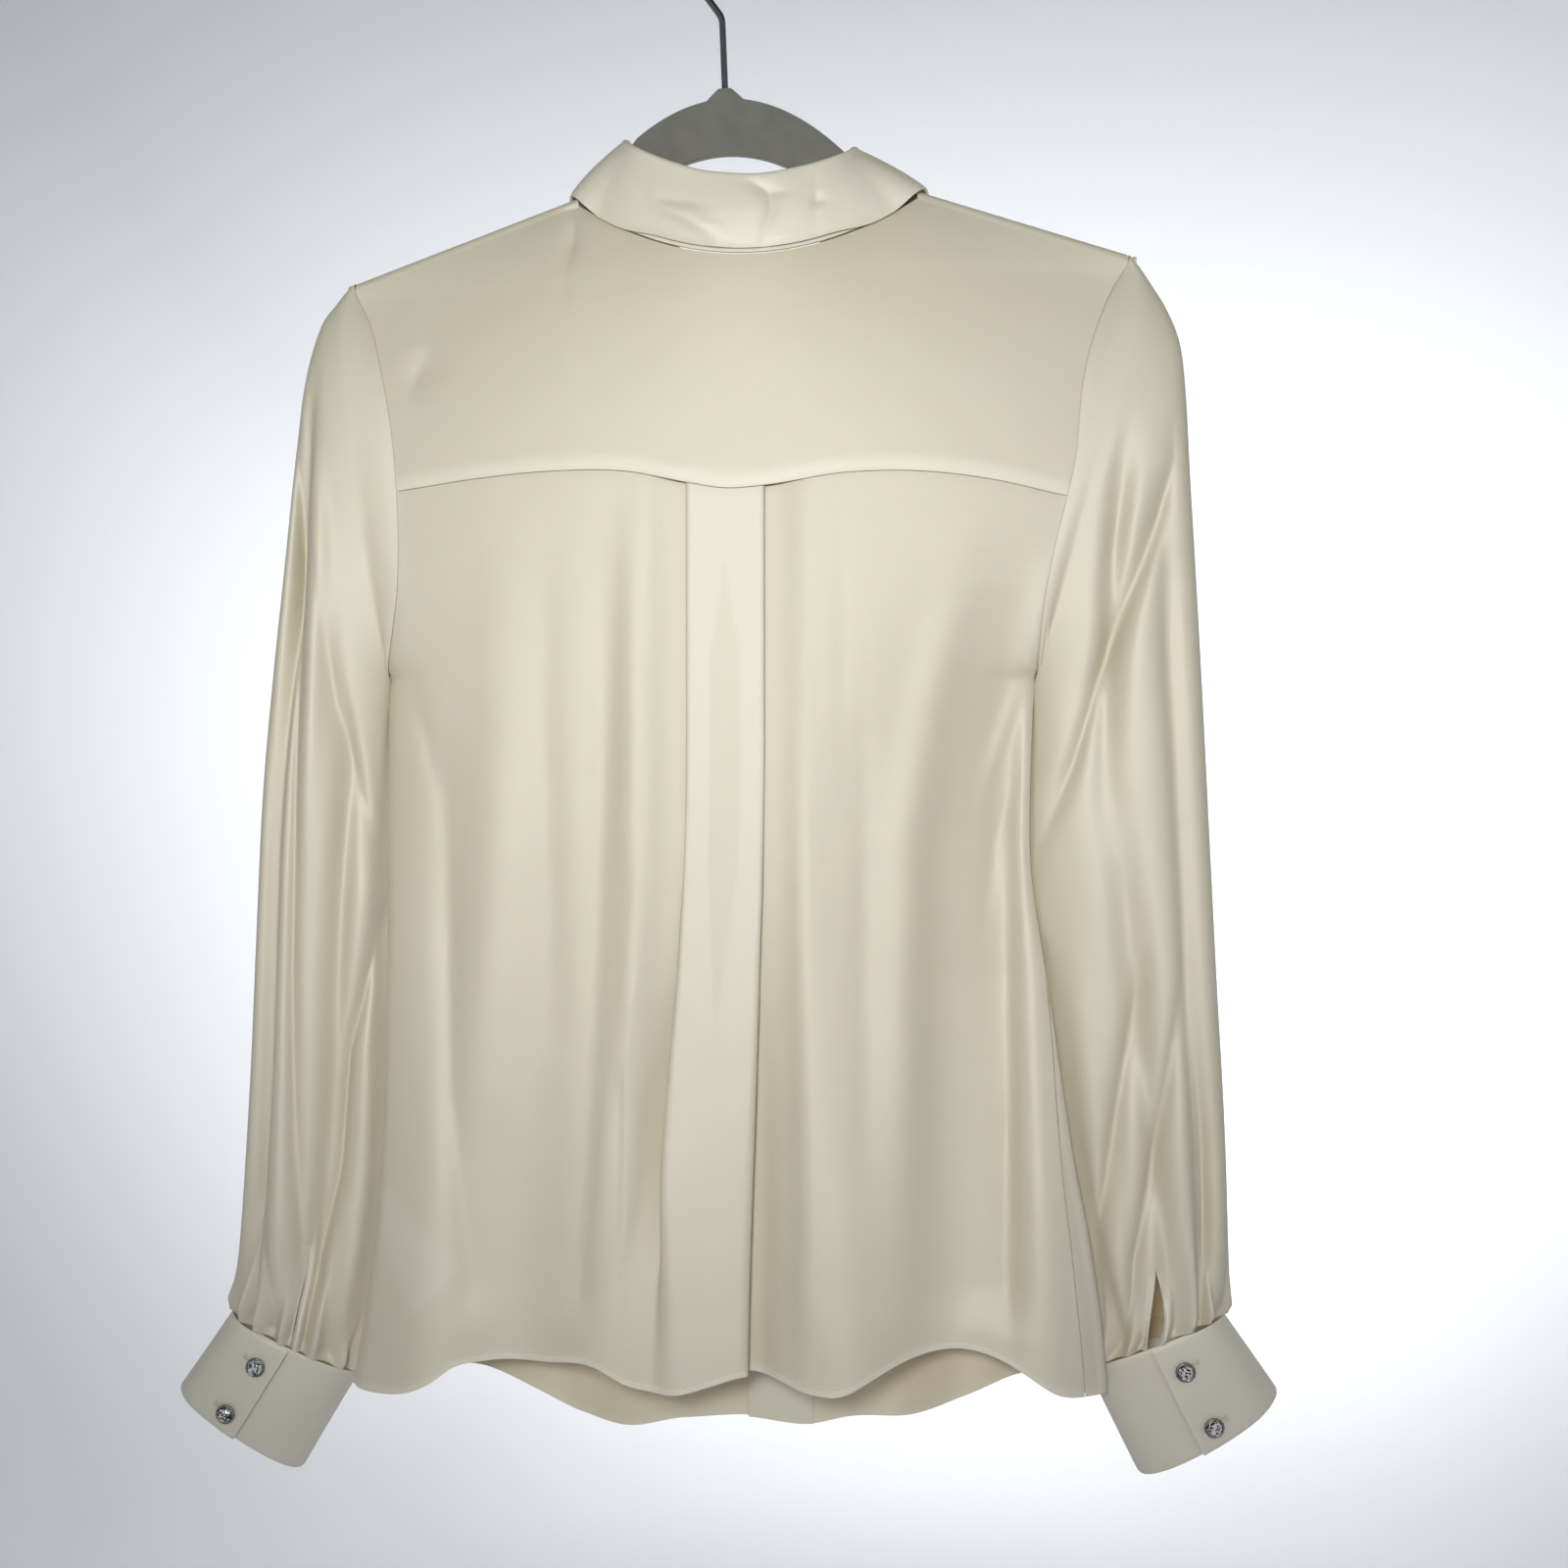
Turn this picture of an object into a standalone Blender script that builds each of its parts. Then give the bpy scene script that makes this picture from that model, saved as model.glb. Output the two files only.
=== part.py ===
"""A long-sleeved silk blouse on a thin flocked hanger, hung as flat as cloth hangs.

Metres, +Z up. The origin is the inside top of the hook, where a rail bears on it. The blouse's
back faces -Y and its front +Y; left and right are the viewer's, seen from behind the garment.
Each panel is an open grid of points with a wall thickness, so the neck, hem, cuffs and armholes
are open and the garment is hollow.
"""

import math
from collections import namedtuple

import bmesh
import bpy
import numpy as np
from mathutils import Matrix, Vector

# ---------------------------------------------------------------- driving sizes
CLOTH = 0.0010  # wall of one layer of cloth
BAND = 0.0016  # wall of a faced band: cuffs, collar and front bands
SEAM = 0.0005  # gap between two pieces that are sewn together
LAYER = 0.0018  # from the middle of one layer to the middle of the next in a fold

HANGER_TILT = math.radians(1.03)  # the right shoulder hangs a little higher
HANGER_TOP = -0.0937  # height of the board's crown
HANGER_SHIFT = 0.0060  # the hook stands this far left of the board's middle
HANGER_THICK = 0.0046
ARM_FALL = 0.344  # slope of the shoulder arms
ARM_START = -0.0230  # where the arms' lines meet, under the crown
CROWN_BEND = 8.53  # the crown is a parabola of this bend
CROWN_LEAN = 0.0186
CROWN_BELOW = 0.0016
BOSS_HEIGHT = 0.0056
BOARD_DEPTH = 0.0250  # height of the board along crown and arms
BAR_TOP = -0.1485
BAR_BOTTOM = -0.1585
WIRE_RADIUS = 0.00175
HOOK_RADIUS = 0.0210

RIDGE_CLEAR = 0.0026  # from the board's edge to the middle of the cloth over it
RIDGE_RADIUS = 0.0046  # half depth of the blouse where it folds over the board
ARMHOLE_DEPTH = 0.0190  # half depth of the armholes
NECK_CENTRE = 0.0115
NECK_HALF = 0.0865
NECK_BACK = (0.0322, 2.0, 1.0)  # the drop of the neck edge and the two powers of its curve
NECK_FRONT = (0.0870, 2.4, 0.5)
FRONT_SEAM_DROP = 0.0280  # the yoke's front seam lies this far under the shoulder ridge
SIDE_WRAP = 0.0120  # how far the right front wraps round to the back at the hem
PLEAT_CENTRE = 0.0026
PLEAT_HALF = 0.0195
OVERLAP_HALF = 0.0170  # half the width of the front bands
FRONT_SHIFT_HEM = 0.0160  # the closure wanders this far to the right at the hem

IVORY = (0.86, 0.82, 0.71)
FLOCK_GREY = (0.17, 0.165, 0.155)
STEEL = (0.62, 0.62, 0.64)
LABEL_WHITE = (0.88, 0.88, 0.86)

# ---------------------------------------------------------------- tables
# The blouse's side outline from each shoulder tip down the armhole and the side to the hem.
Edge = namedtuple("Edge", "z x")
LEFT_EDGE = (
    Edge(-0.1903, -0.1905),
    Edge(-0.2080, -0.1822),
    Edge(-0.2298, -0.1760),
    Edge(-0.2654, -0.1686),
    Edge(-0.2952, -0.1655),
    Edge(-0.3248, -0.1643),
    Edge(-0.3492, -0.1655),
    Edge(-0.3700, -0.1690),
    Edge(-0.3890, -0.1728),
    Edge(-0.4400, -0.1742),
    Edge(-0.5454, -0.1752),
    Edge(-0.6468, -0.1778),
    Edge(-0.7000, -0.1828),
    Edge(-0.7383, -0.1885),
    Edge(-0.7600, -0.1925),
)
RIGHT_EDGE = (
    Edge(-0.1833, 0.2032),
    Edge(-0.1962, 0.1953),
    Edge(-0.2132, 0.1880),
    Edge(-0.2253, 0.1840),
    Edge(-0.2432, 0.1799),
    Edge(-0.2599, 0.1779),
    Edge(-0.2773, 0.1766),
    Edge(-0.2996, 0.1721),
    Edge(-0.3300, 0.1648),
    Edge(-0.3568, 0.1600),
    Edge(-0.3900, 0.1572),
    Edge(-0.4400, 0.1548),
    Edge(-0.4837, 0.1548),
    Edge(-0.5431, 0.1632),
    Edge(-0.6321, 0.1764),
    Edge(-0.6864, 0.1862),
    Edge(-0.7407, 0.1921),
    Edge(-0.7600, 0.1930),
)
UNDERARM_LEFT = -0.3890
UNDERARM_RIGHT = -0.3900

# How far the middle of the back and of the front hang from the hanger's plane.
Depth = namedtuple("Depth", "z back front shift")
BODY_DEPTH = (
    Depth(-0.1400, 0.0270, 0.0270, 0.0000),
    Depth(-0.2900, 0.0290, 0.0290, 0.0000),
    Depth(-0.4000, 0.0285, 0.0280, 0.0000),
    Depth(-0.5500, 0.0270, 0.0265, -0.0015),
    Depth(-0.7000, 0.0270, 0.0265, -0.0060),
    Depth(-0.7700, 0.0270, 0.0270, -0.0090),
)

# The yoke seam, and the hem of the back and of the front.
Line = namedtuple("Line", "x z")
YOKE_SEAM = (
    Line(-0.1900, -0.2975),
    Line(-0.1625, -0.2955),
    Line(-0.1252, -0.2910),
    Line(-0.0856, -0.2880),
    Line(-0.0462, -0.2889),
    Line(-0.0169, -0.2946),
    Line(0.0027, -0.2977),
    Line(0.0221, -0.2965),
    Line(0.0609, -0.2906),
    Line(0.1043, -0.2901),
    Line(0.1378, -0.2943),
    Line(0.1712, -0.3014),
    Line(0.1900, -0.3040),
)
BACK_HEM = (
    Line(-0.1930, -0.7505),
    Line(-0.1806, -0.7519),
    Line(-0.1456, -0.7438),
    Line(-0.1341, -0.7361),
    Line(-0.1180, -0.7336),
    Line(-0.0883, -0.7338),
    Line(-0.0627, -0.7330),
    Line(-0.0465, -0.7408),
    Line(-0.0211, -0.7445),
    Line(-0.0045, -0.7405),
    Line(0.0116, -0.7362),
    Line(0.0266, -0.7377),
    Line(0.0417, -0.7416),
    Line(0.0611, -0.7417),
    Line(0.0753, -0.7351),
    Line(0.0923, -0.7280),
    Line(0.1410, -0.7294),
    Line(0.1523, -0.7356),
    Line(0.1648, -0.7433),
    Line(0.1930, -0.7476),
)
FRONT_HEM = (
    Line(-0.1950, -0.7505),
    Line(-0.1700, -0.7500),
    Line(-0.1263, -0.7500),
    Line(-0.0962, -0.7594),
    Line(-0.0754, -0.7707),
    Line(-0.0545, -0.7806),
    Line(-0.0233, -0.7758),
    Line(0.0062, -0.7731),
    Line(0.0439, -0.7762),
    Line(0.0619, -0.7729),
    Line(0.0927, -0.7722),
    Line(0.1232, -0.7562),
    Line(0.1458, -0.7470),
    Line(0.1930, -0.7476),
)

# Long soft folds: where each starts, where it meets the hem, how far it stands out of the panel
# (minus is a trough) and how wide it is.
Fold = namedtuple("Fold", "x_top z_top x_hem out width_top width_hem")
BACK_FOLDS = (
    Fold(-0.120, -0.420, -0.152, 0.0070, 0.018, 0.021),
    Fold(-0.085, -0.400, -0.100, -0.0110, 0.018, 0.030),
    Fold(-0.040, -0.480, -0.036, 0.0070, 0.016, 0.022),
    Fold(0.050, -0.460, 0.062, 0.0080, 0.016, 0.022),
    Fold(0.100, -0.330, 0.116, -0.0110, 0.016, 0.028),
    Fold(0.130, -0.370, 0.168, 0.0080, 0.014, 0.020),
)
FRONT_FOLDS = (
    Fold(-0.120, -0.420, -0.140, 0.0080, 0.018, 0.024),
    Fold(-0.075, -0.380, -0.092, -0.0090, 0.018, 0.028),
    Fold(-0.038, -0.480, -0.044, 0.0060, 0.016, 0.022),
    Fold(0.075, -0.460, 0.086, 0.0070, 0.016, 0.022),
    Fold(0.105, -0.360, 0.126, -0.0090, 0.016, 0.026),
    Fold(0.125, -0.400, 0.164, 0.0060, 0.014, 0.020),
)

# Cross sections of each sleeve from the armhole to the cuff: the outer and the inner end of the
# section, its half depth, and how far its near face stands above the line between the ends.
Ring = namedtuple("Ring", "outer_x outer_z outer_y inner_x inner_z inner_y half near_up")
LEFT_RINGS = (
    Ring(-0.2005, -0.1955, 0.0000, -0.1760, -0.3960, 0.0000, 0.0200, 0.0000),
    Ring(-0.2085, -0.2065, 0.0000, -0.1768, -0.4060, 0.0020, 0.0215, 0.0000),
    Ring(-0.2150, -0.2280, -0.0010, -0.1775, -0.4210, 0.0040, 0.0225, 0.0000),
    Ring(-0.2190, -0.2540, -0.0020, -0.1782, -0.4430, 0.0060, 0.0235, 0.0000),
    Ring(-0.2230, -0.2880, -0.0020, -0.1788, -0.4710, 0.0070, 0.0240, 0.0000),
    Ring(-0.2272, -0.3300, -0.0020, -0.1792, -0.5040, 0.0080, 0.0240, 0.0000),
    Ring(-0.2335, -0.3890, -0.0020, -0.1795, -0.5400, 0.0080, 0.0240, 0.0000),
    Ring(-0.2392, -0.4500, -0.0010, -0.1795, -0.5800, 0.0090, 0.0240, 0.0005),
    Ring(-0.2428, -0.5200, 0.0000, -0.1798, -0.6220, 0.0100, 0.0245, 0.0010),
    Ring(-0.2464, -0.5900, 0.0020, -0.1815, -0.6620, 0.0110, 0.0255, 0.0020),
    Ring(-0.2512, -0.6560, 0.0050, -0.1850, -0.7000, 0.0120, 0.0265, 0.0035),
    Ring(-0.2558, -0.6990, 0.0090, -0.1905, -0.7330, 0.0130, 0.0270, 0.0050),
    Ring(-0.2589, -0.7205, 0.0120, -0.1950, -0.7515, 0.0130, 0.0272, 0.0060),
)
RIGHT_RINGS = (
    Ring(0.2150, -0.1930, 0.0000, 0.1600, -0.3965, 0.0000, 0.0200, 0.0000),
    Ring(0.2225, -0.2055, 0.0000, 0.1598, -0.4060, 0.0020, 0.0215, 0.0000),
    Ring(0.2290, -0.2230, -0.0010, 0.1592, -0.4200, 0.0040, 0.0225, 0.0000),
    Ring(0.2318, -0.2480, -0.0020, 0.1583, -0.4400, 0.0060, 0.0235, 0.0000),
    Ring(0.2340, -0.2900, -0.0020, 0.1572, -0.4660, 0.0070, 0.0240, 0.0000),
    Ring(0.2370, -0.3420, -0.0020, 0.1575, -0.5000, 0.0080, 0.0240, 0.0000),
    Ring(0.2402, -0.4020, -0.0020, 0.1645, -0.5400, 0.0080, 0.0240, 0.0000),
    Ring(0.2437, -0.4700, -0.0010, 0.1712, -0.5830, 0.0090, 0.0240, 0.0005),
    Ring(0.2475, -0.5440, 0.0000, 0.1775, -0.6250, 0.0100, 0.0245, 0.0010),
    Ring(0.2518, -0.6150, 0.0030, 0.1840, -0.6660, 0.0110, 0.0255, 0.0020),
    Ring(0.2540, -0.6700, 0.0070, 0.1888, -0.7010, 0.0120, 0.0265, 0.0035),
    Ring(0.2538, -0.7000, 0.0110, 0.1895, -0.7270, 0.0150, 0.0270, 0.0050),
    Ring(0.2531, -0.7136, 0.0130, 0.1853, -0.7425, 0.0160, 0.0272, 0.0060),
)
# Lengthwise folds of the sleeves. Angles go round the section from the outer end over the
# back face, half a turn being the inner end; from and to run from 0 at the armhole to 1.
SleeveFold = namedtuple("SleeveFold", "turn_top turn_end start stop out width")
LEFT_SLEEVE_FOLDS = (
    SleeveFold(0.110, 0.125, 0.16, 0.98, -0.0080, 0.030),
    SleeveFold(0.190, 0.215, 0.20, 0.99, 0.0045, 0.035),
    SleeveFold(0.330, 0.290, 0.34, 0.98, -0.0085, 0.030),
    SleeveFold(0.400, 0.375, 0.30, 0.99, 0.0040, 0.030),
    SleeveFold(0.620, 0.600, 0.20, 0.98, -0.0070, 0.035),
    SleeveFold(0.760, 0.750, 0.25, 0.98, -0.0070, 0.035),
    SleeveFold(0.890, 0.880, 0.20, 0.98, -0.0065, 0.030),
)
RIGHT_SLEEVE_FOLDS = (
    SleeveFold(0.200, 0.340, 0.10, 0.55, -0.0080, 0.030),
    SleeveFold(0.120, 0.150, 0.30, 0.98, -0.0055, 0.030),
    SleeveFold(0.300, 0.235, 0.45, 0.99, -0.0060, 0.030),
    SleeveFold(0.400, 0.350, 0.50, 0.99, 0.0045, 0.035),
    SleeveFold(0.620, 0.600, 0.20, 0.98, -0.0070, 0.035),
    SleeveFold(0.760, 0.750, 0.25, 0.98, -0.0070, 0.035),
    SleeveFold(0.890, 0.880, 0.20, 0.98, -0.0065, 0.030),
)
COLUMNS = 48  # round each sleeve
GATHER_STEP = 3  # columns to a gather at the cuff
GATHER_DEPTH = 0.0026
GATHER_REACH = 0.16  # share of the sleeve's length that the gathers fade over
SLIT_TURN = 0.275  # where the slit and the cuff's lap lie, in turns round the section
SLIT_REACH = 0.150  # share of the sleeve's length that is slit

# The ends of each cuff: top and bottom sections, as for the sleeves.
LEFT_CUFF = (
    Ring(-0.2594, -0.7212, 0.0120, -0.1953, -0.7522, 0.0130, 0.0268, 0.0060),
    Ring(-0.2880, -0.7614, 0.0140, -0.2260, -0.8035, 0.0140, 0.0250, 0.0060),
)
RIGHT_CUFF = (
    Ring(0.2534, -0.7143, 0.0130, 0.1854, -0.7432, 0.0160, 0.0268, 0.0060),
    Ring(0.2800, -0.7520, 0.0140, 0.2110, -0.7945, 0.0140, 0.0225, -0.0010),
)
CUFF_LAP = 0.100  # share of a turn that the cuff's ends overlap
CUFF_LIFT = 0.0026  # how far the upper end stands off the lower one
BUTTON_RADIUS = 0.0050
BUTTON_HEIGHT = 0.0036
CUFF_BUTTON_HEIGHTS = (0.27, 0.82)  # down the cuff, as shares of its height
BUTTON_FROM_EDGE = 0.040  # share of a turn from the lap's free edge

# The collar from the middle of the back round to the front: the roll line and the leaf's edge,
# with widths from the neck's middle.
Collar = namedtuple("Collar", "turn roll_w roll_y roll_z edge_w edge_y edge_z")
COLLAR = (
    Collar(-0.12, -0.0150, -0.0200, -0.1410, -0.0260, -0.0335, -0.1760),
    Collar(0.00, 0.0000, -0.0205, -0.1420, 0.0000, -0.0345, -0.1785),
    Collar(0.12, 0.0150, -0.0200, -0.1410, 0.0260, -0.0335, -0.1760),
    Collar(0.22, 0.0290, -0.0185, -0.1370, 0.0460, -0.0305, -0.1690),
    Collar(0.38, 0.0505, -0.0120, -0.1272, 0.0740, -0.0195, -0.1555),
    Collar(0.45, 0.0558, -0.0050, -0.1222, 0.0878, -0.0086, -0.1457),
    Collar(0.50, 0.0566, 0.0000, -0.1197, 0.0915, 0.0000, -0.1426),
    Collar(0.55, 0.0562, 0.0052, -0.1226, 0.0935, 0.0085, -0.1475),
    Collar(0.63, 0.0530, 0.0140, -0.1330, 0.0945, 0.0215, -0.1660),
    Collar(0.76, 0.0390, 0.0230, -0.1600, 0.0820, 0.0345, -0.2120),
    Collar(0.90, 0.0180, 0.0290, -0.1930, 0.0640, 0.0390, -0.2500),
    Collar(1.00, 0.0040, 0.0310, -0.2100, 0.0480, 0.0395, -0.2700),
)
ROLL_TILT = -0.052  # the left side of the roll stands higher
ROLL_RADIUS = 0.0019
LEAF_SHOW = 0.0026  # how much of the stand shows under the leaf at the back
LEAF_OFF = 0.0042  # and how far the leaf's edge stands off the yoke there
STAND_LAP = 0.0120  # how far each end of the stand passes the middle of the front

# The blank care label in the left side seam, corners in width and height.
LABEL_ROOT = (Line(-0.1740, -0.6470), Line(-0.1745, -0.6780))
LABEL_END = (Line(-0.1296, -0.6865), Line(-0.1547, -0.7116))


# ---------------------------------------------------------------- small helpers
def curve(keys, values, at):
    """A smooth line through (keys, values), with slopes from each point's neighbours."""
    keys, values = np.asarray(keys, float), np.asarray(values, float)
    if keys[0] > keys[-1]:
        keys, values = keys[::-1], values[::-1]
    slopes = np.gradient(values, keys)
    at = np.clip(at, keys[0], keys[-1])
    i = np.clip(np.searchsorted(keys, at) - 1, 0, len(keys) - 2)
    span = keys[i + 1] - keys[i]
    t = (at - keys[i]) / span
    return (
        values[i] * (2 * t**3 - 3 * t**2 + 1)
        + slopes[i] * span * (t**3 - 2 * t**2 + t)
        + values[i + 1] * (3 * t**2 - 2 * t**3)
        + slopes[i + 1] * span * (t**3 - t**2)
    )


def read(table, name, key, at):
    """The named column of a table, read smoothly at values of its key column."""
    return curve([getattr(r, key) for r in table], [getattr(r, name) for r in table], at)


def smooth(t):
    """0 below 0, 1 above 1, and an even rise between."""
    t = np.clip(t, 0.0, 1.0)
    return t * t * (3 - 2 * t)


def blend(a, b, t):
    return a + (b - a) * t


# ---------------------------------------------------------------- the hanger's lines
def board_top(u):
    """Height of the board's upper edge in its own frame: a crown that runs into two arms."""
    crown = CROWN_LEAN * u - CROWN_BEND * (u + HANGER_SHIFT) ** 2
    crown = crown - CROWN_BELOW - 130 * np.maximum(np.abs(u - 0.0025) - 0.0530, 0) ** 2
    arm = ARM_START - ARM_FALL * np.abs(u)
    return (crown + arm + np.sqrt((crown - arm) ** 2 + 0.003**2)) / 2


def hang(u, w):
    """From the board's own frame to the part's frame: turned by the tilt and hung on the hook."""
    c, s = math.cos(HANGER_TILT), math.sin(HANGER_TILT)
    return HANGER_SHIFT + u * c - w * s, HANGER_TOP + u * s + w * c


def ridge(x):
    """Height of the middle of the cloth where it folds over the board, for a place along X."""
    u = np.linspace(-0.24, 0.24, 481)
    bx, bz = hang(u, board_top(u))
    return np.interp(x, bx, bz) + RIDGE_CLEAR


# ---------------------------------------------------------------- the blouse's surfaces
def edge_x(side, z):
    table = LEFT_EDGE if side < 0 else RIGHT_EDGE
    return read(table, "x", "z", z)


def armhole_close(side, z):
    """1 where the armhole is open and 0 from the underarm down, closing as a round end."""
    underarm = UNDERARM_LEFT if side < 0 else UNDERARM_RIGHT
    t = np.clip((-0.30 - z) / (-0.30 - underarm), 0, 1)
    return np.sqrt(1 - t**3)


def edge_half(side, z):
    """Half depth of the armhole at a height."""
    tip = (LEFT_EDGE if side < 0 else RIGHT_EDGE)[0].z
    drop = np.maximum(tip - RIDGE_RADIUS - z, 0)
    grown = RIDGE_RADIUS + (ARMHOLE_DEPTH - RIDGE_RADIUS) * (1 - np.exp(-drop / 0.028))
    return np.maximum(grown * armhole_close(side, z), SEAM * 0.8)


def panel_depth(x, z, face):
    """How far the back (face -1) or the front (face 1) lies from the hanger's plane, without folds.
    Across the body the section is a lens that closes round the sides under the arms; near the
    shoulders it narrows to the fold over the board."""
    x, z = np.broadcast_arrays(np.asarray(x, float), np.asarray(z, float))
    left, right = edge_x(-1, z), edge_x(1, z)
    middle, half = (left + right) / 2, (right - left) / 2
    s = np.clip((x - middle) / half, -1, 1)
    rim = np.where(s < 0, edge_half(-1, z), edge_half(1, z))
    close = np.where(s < 0, armhole_close(-1, z), armhole_close(1, z))
    full = read(BODY_DEPTH, "back" if face < 0 else "front", "z", z)
    base = rim + (full - rim) * (1 - np.abs(s) ** 2.6) ** (0.5 + 0.5 * close**2)
    reach = 0.045 - 0.026 * np.exp(-(((x - NECK_CENTRE) / 0.075) ** 2))
    top = np.where(np.abs(x - NECK_CENTRE) < NECK_HALF, neck_side_height(x), ridge(x))
    drop = np.maximum(top - RIDGE_RADIUS - z, 0)
    return blend(np.minimum(RIDGE_RADIUS, base), base, 1 - np.exp(-drop / reach))


def neck_side_height(x):
    """The line from one neck point on the shoulder ridge to the other."""
    ends = NECK_CENTRE - NECK_HALF, NECK_CENTRE + NECK_HALF
    return np.interp(x, ends, (ridge(ends[0]), ridge(ends[1])))


def neck_line(x, neck):
    """Height of the neck edge: round below the line between the neck points."""
    drop, inner, outer = neck
    t = np.clip(np.abs(x - NECK_CENTRE) / NECK_HALF, 0, 1)
    return neck_side_height(x) - RIDGE_RADIUS - drop * (1 - t**inner) ** outer


def fold_field(folds, x, z, hem):
    """Sum of the long folds: each is a soft ridge that deepens and widens towards the hem."""
    out = np.zeros_like(x)
    for fold in folds:
        fall = smooth((fold.z_top - z) / (fold.z_top - hem))
        middle = blend(fold.x_top, fold.x_hem, fall)
        width = blend(fold.width_top, fold.width_hem, fall)
        out += fold.out * fall * np.exp(-(((x - middle) / width) ** 2))
    return out


def panel_point(x, z, face, pushed=0.0):
    """A point of the back or front panel, with its folds, pushed out of the panel by a distance."""
    x, z = np.broadcast_arrays(np.asarray(x, float), np.asarray(z, float))
    folds, hem = (BACK_FOLDS, -0.745) if face < 0 else (FRONT_FOLDS, -0.760)
    left, right = edge_x(-1, z), edge_x(1, z)
    inside = 1 - np.abs((2 * x - left - right) / (right - left)) ** 6
    depth = panel_depth(x, z, face) + fold_field(folds, x, z, hem) * np.clip(inside, 0, 1)
    y = face * (depth + pushed) + read(BODY_DEPTH, "shift", "z", z)
    return np.stack([x, y, z], axis=-1)


# ---------------------------------------------------------------- Blender objects
def finish(name, mesh, colour, roughness, metallic=0.0):
    """An object for the mesh, in the part's collection, with its own material."""
    material = bpy.data.materials.new(name)
    material.use_nodes = True
    shader = material.node_tree.nodes["Principled BSDF"]
    shader.inputs["Base Color"].default_value = (*colour, 1.0)
    shader.inputs["Roughness"].default_value = roughness
    shader.inputs["Metallic"].default_value = metallic
    mesh.materials.append(material)
    obj = bpy.data.objects.new(name, mesh)
    BLOUSE.objects.link(obj)
    return obj


def cloth(name, grid, wall, colour=IVORY, keep=None):
    """A wall of cloth on a grid of rows and columns of points. keep says which cells are there;
    points that meet, as round a tube, become one."""
    rows, columns = grid.shape[:2]
    index = np.arange(rows * columns).reshape(rows, columns)
    cells = np.stack([index[:-1, :-1], index[:-1, 1:], index[1:, 1:], index[1:, :-1]], axis=-1)
    if keep is not None:
        cells = cells[keep]
    mesh = bpy.data.meshes.new(name)
    mesh.from_pydata(grid.reshape(-1, 3).tolist(), [], cells.reshape(-1, 4).tolist())
    shape = bmesh.new()
    shape.from_mesh(mesh)
    bmesh.ops.remove_doubles(shape, verts=shape.verts, dist=0.00005)
    loose = [v for v in shape.verts if not v.link_faces]
    bmesh.ops.delete(shape, geom=loose, context="VERTS")
    bmesh.ops.recalc_face_normals(shape, faces=shape.faces)
    shape.to_mesh(mesh)
    shape.free()
    mesh.shade_smooth()
    obj = finish(name, mesh, colour, 0.45)
    solidify = obj.modifiers.new("wall", "SOLIDIFY")
    solidify.thickness = wall
    solidify.offset = 0.0
    return obj


# ---------------------------------------------------------------- yoke, back and fronts
def tip_x(side):
    return (LEFT_EDGE if side < 0 else RIGHT_EDGE)[0].x


def crest(x):
    """Height of the two lines where the cloth leaves the fold over the board."""
    return ridge(x) - RIDGE_RADIUS


def edge_on_line(side, drop):
    """Where the armhole meets a line that lies a drop under the crest."""
    x = tip_x(side)
    for _ in range(12):
        x = float(edge_x(side, crest(x) - drop))
    return x


def neck_on_line(side, drop):
    """Where the front neck edge meets a line that lies a drop under the crest."""
    x = NECK_CENTRE + side * NECK_HALF * np.linspace(1.0, 0.3, 1400)
    gap = (crest(x) - drop) - neck_line(x, NECK_FRONT)
    return float(np.interp(0.0, gap, x)) if gap[0] < gap[-1] else float(x[0])


def neck_shares():
    """Places across the back neck, a little closer together near the shoulders."""
    even = np.linspace(-1, 1, 15)
    return 0.7 * even + 0.3 * np.sin(even * math.pi / 2)


def make_yoke():
    """The back yoke: from its seam up to the neck edge, and over both shoulders to the front seam."""
    neck_x = NECK_CENTRE + NECK_HALF * neck_shares()
    left = np.linspace(tip_x(-1), neck_x[0], 6)
    right = np.linspace(neck_x[-1], tip_x(1), 6)
    x_top = np.concatenate([left[:-1], neck_x, right[1:]])
    in_neck = np.abs(x_top - NECK_CENTRE) < NECK_HALF - 1e-6
    top = np.where(in_neck, neck_line(x_top, NECK_BACK), crest(x_top))
    seam_x = [float(edge_x(side, read(YOKE_SEAM, "z", "x", side * 0.17))) for side in (-1, 1)]
    share = (x_top - x_top[0]) / (x_top[-1] - x_top[0])
    even = np.linspace(0, 1, len(share))
    x_low = blend(seam_x[0], seam_x[1], blend(share, even, 0.35))
    z_low = read(YOKE_SEAM, "z", "x", x_low) + SEAM / 2
    rows = []
    for v in np.linspace(0, 1, 6):
        z = blend(z_low, top, v)
        x = blend(x_low, x_top, v)
        ends = float(edge_x(-1, z[0])), float(edge_x(1, z[-1]))
        x = ends[0] + (x - x[0]) * (ends[1] - ends[0]) / (x[-1] - x[0])
        rows.append(panel_point(x, z, -1))
    for angle in np.radians((40, 90, 140)):
        y = np.full_like(x_top, -RIDGE_RADIUS * math.cos(angle))
        rows.append(np.stack([x_top, y, crest(x_top) + RIDGE_RADIUS * math.sin(angle)], axis=-1))
    for drop in np.array([0.0, 0.5, 1.0]) * FRONT_SEAM_DROP:
        x = x_top.copy()
        x[:6] = np.linspace(edge_on_line(-1, drop), neck_on_line(-1, drop), 6)
        x[-6:] = np.linspace(neck_on_line(1, drop), edge_on_line(1, drop), 6)
        rows.append(panel_point(x, crest(x) - drop, 1))
    keep = np.ones((len(rows) - 1, len(x_top) - 1), bool)
    keep[5:, 5:-5] = False
    return cloth("yoke", np.stack(rows), CLOTH, keep=keep)


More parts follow.
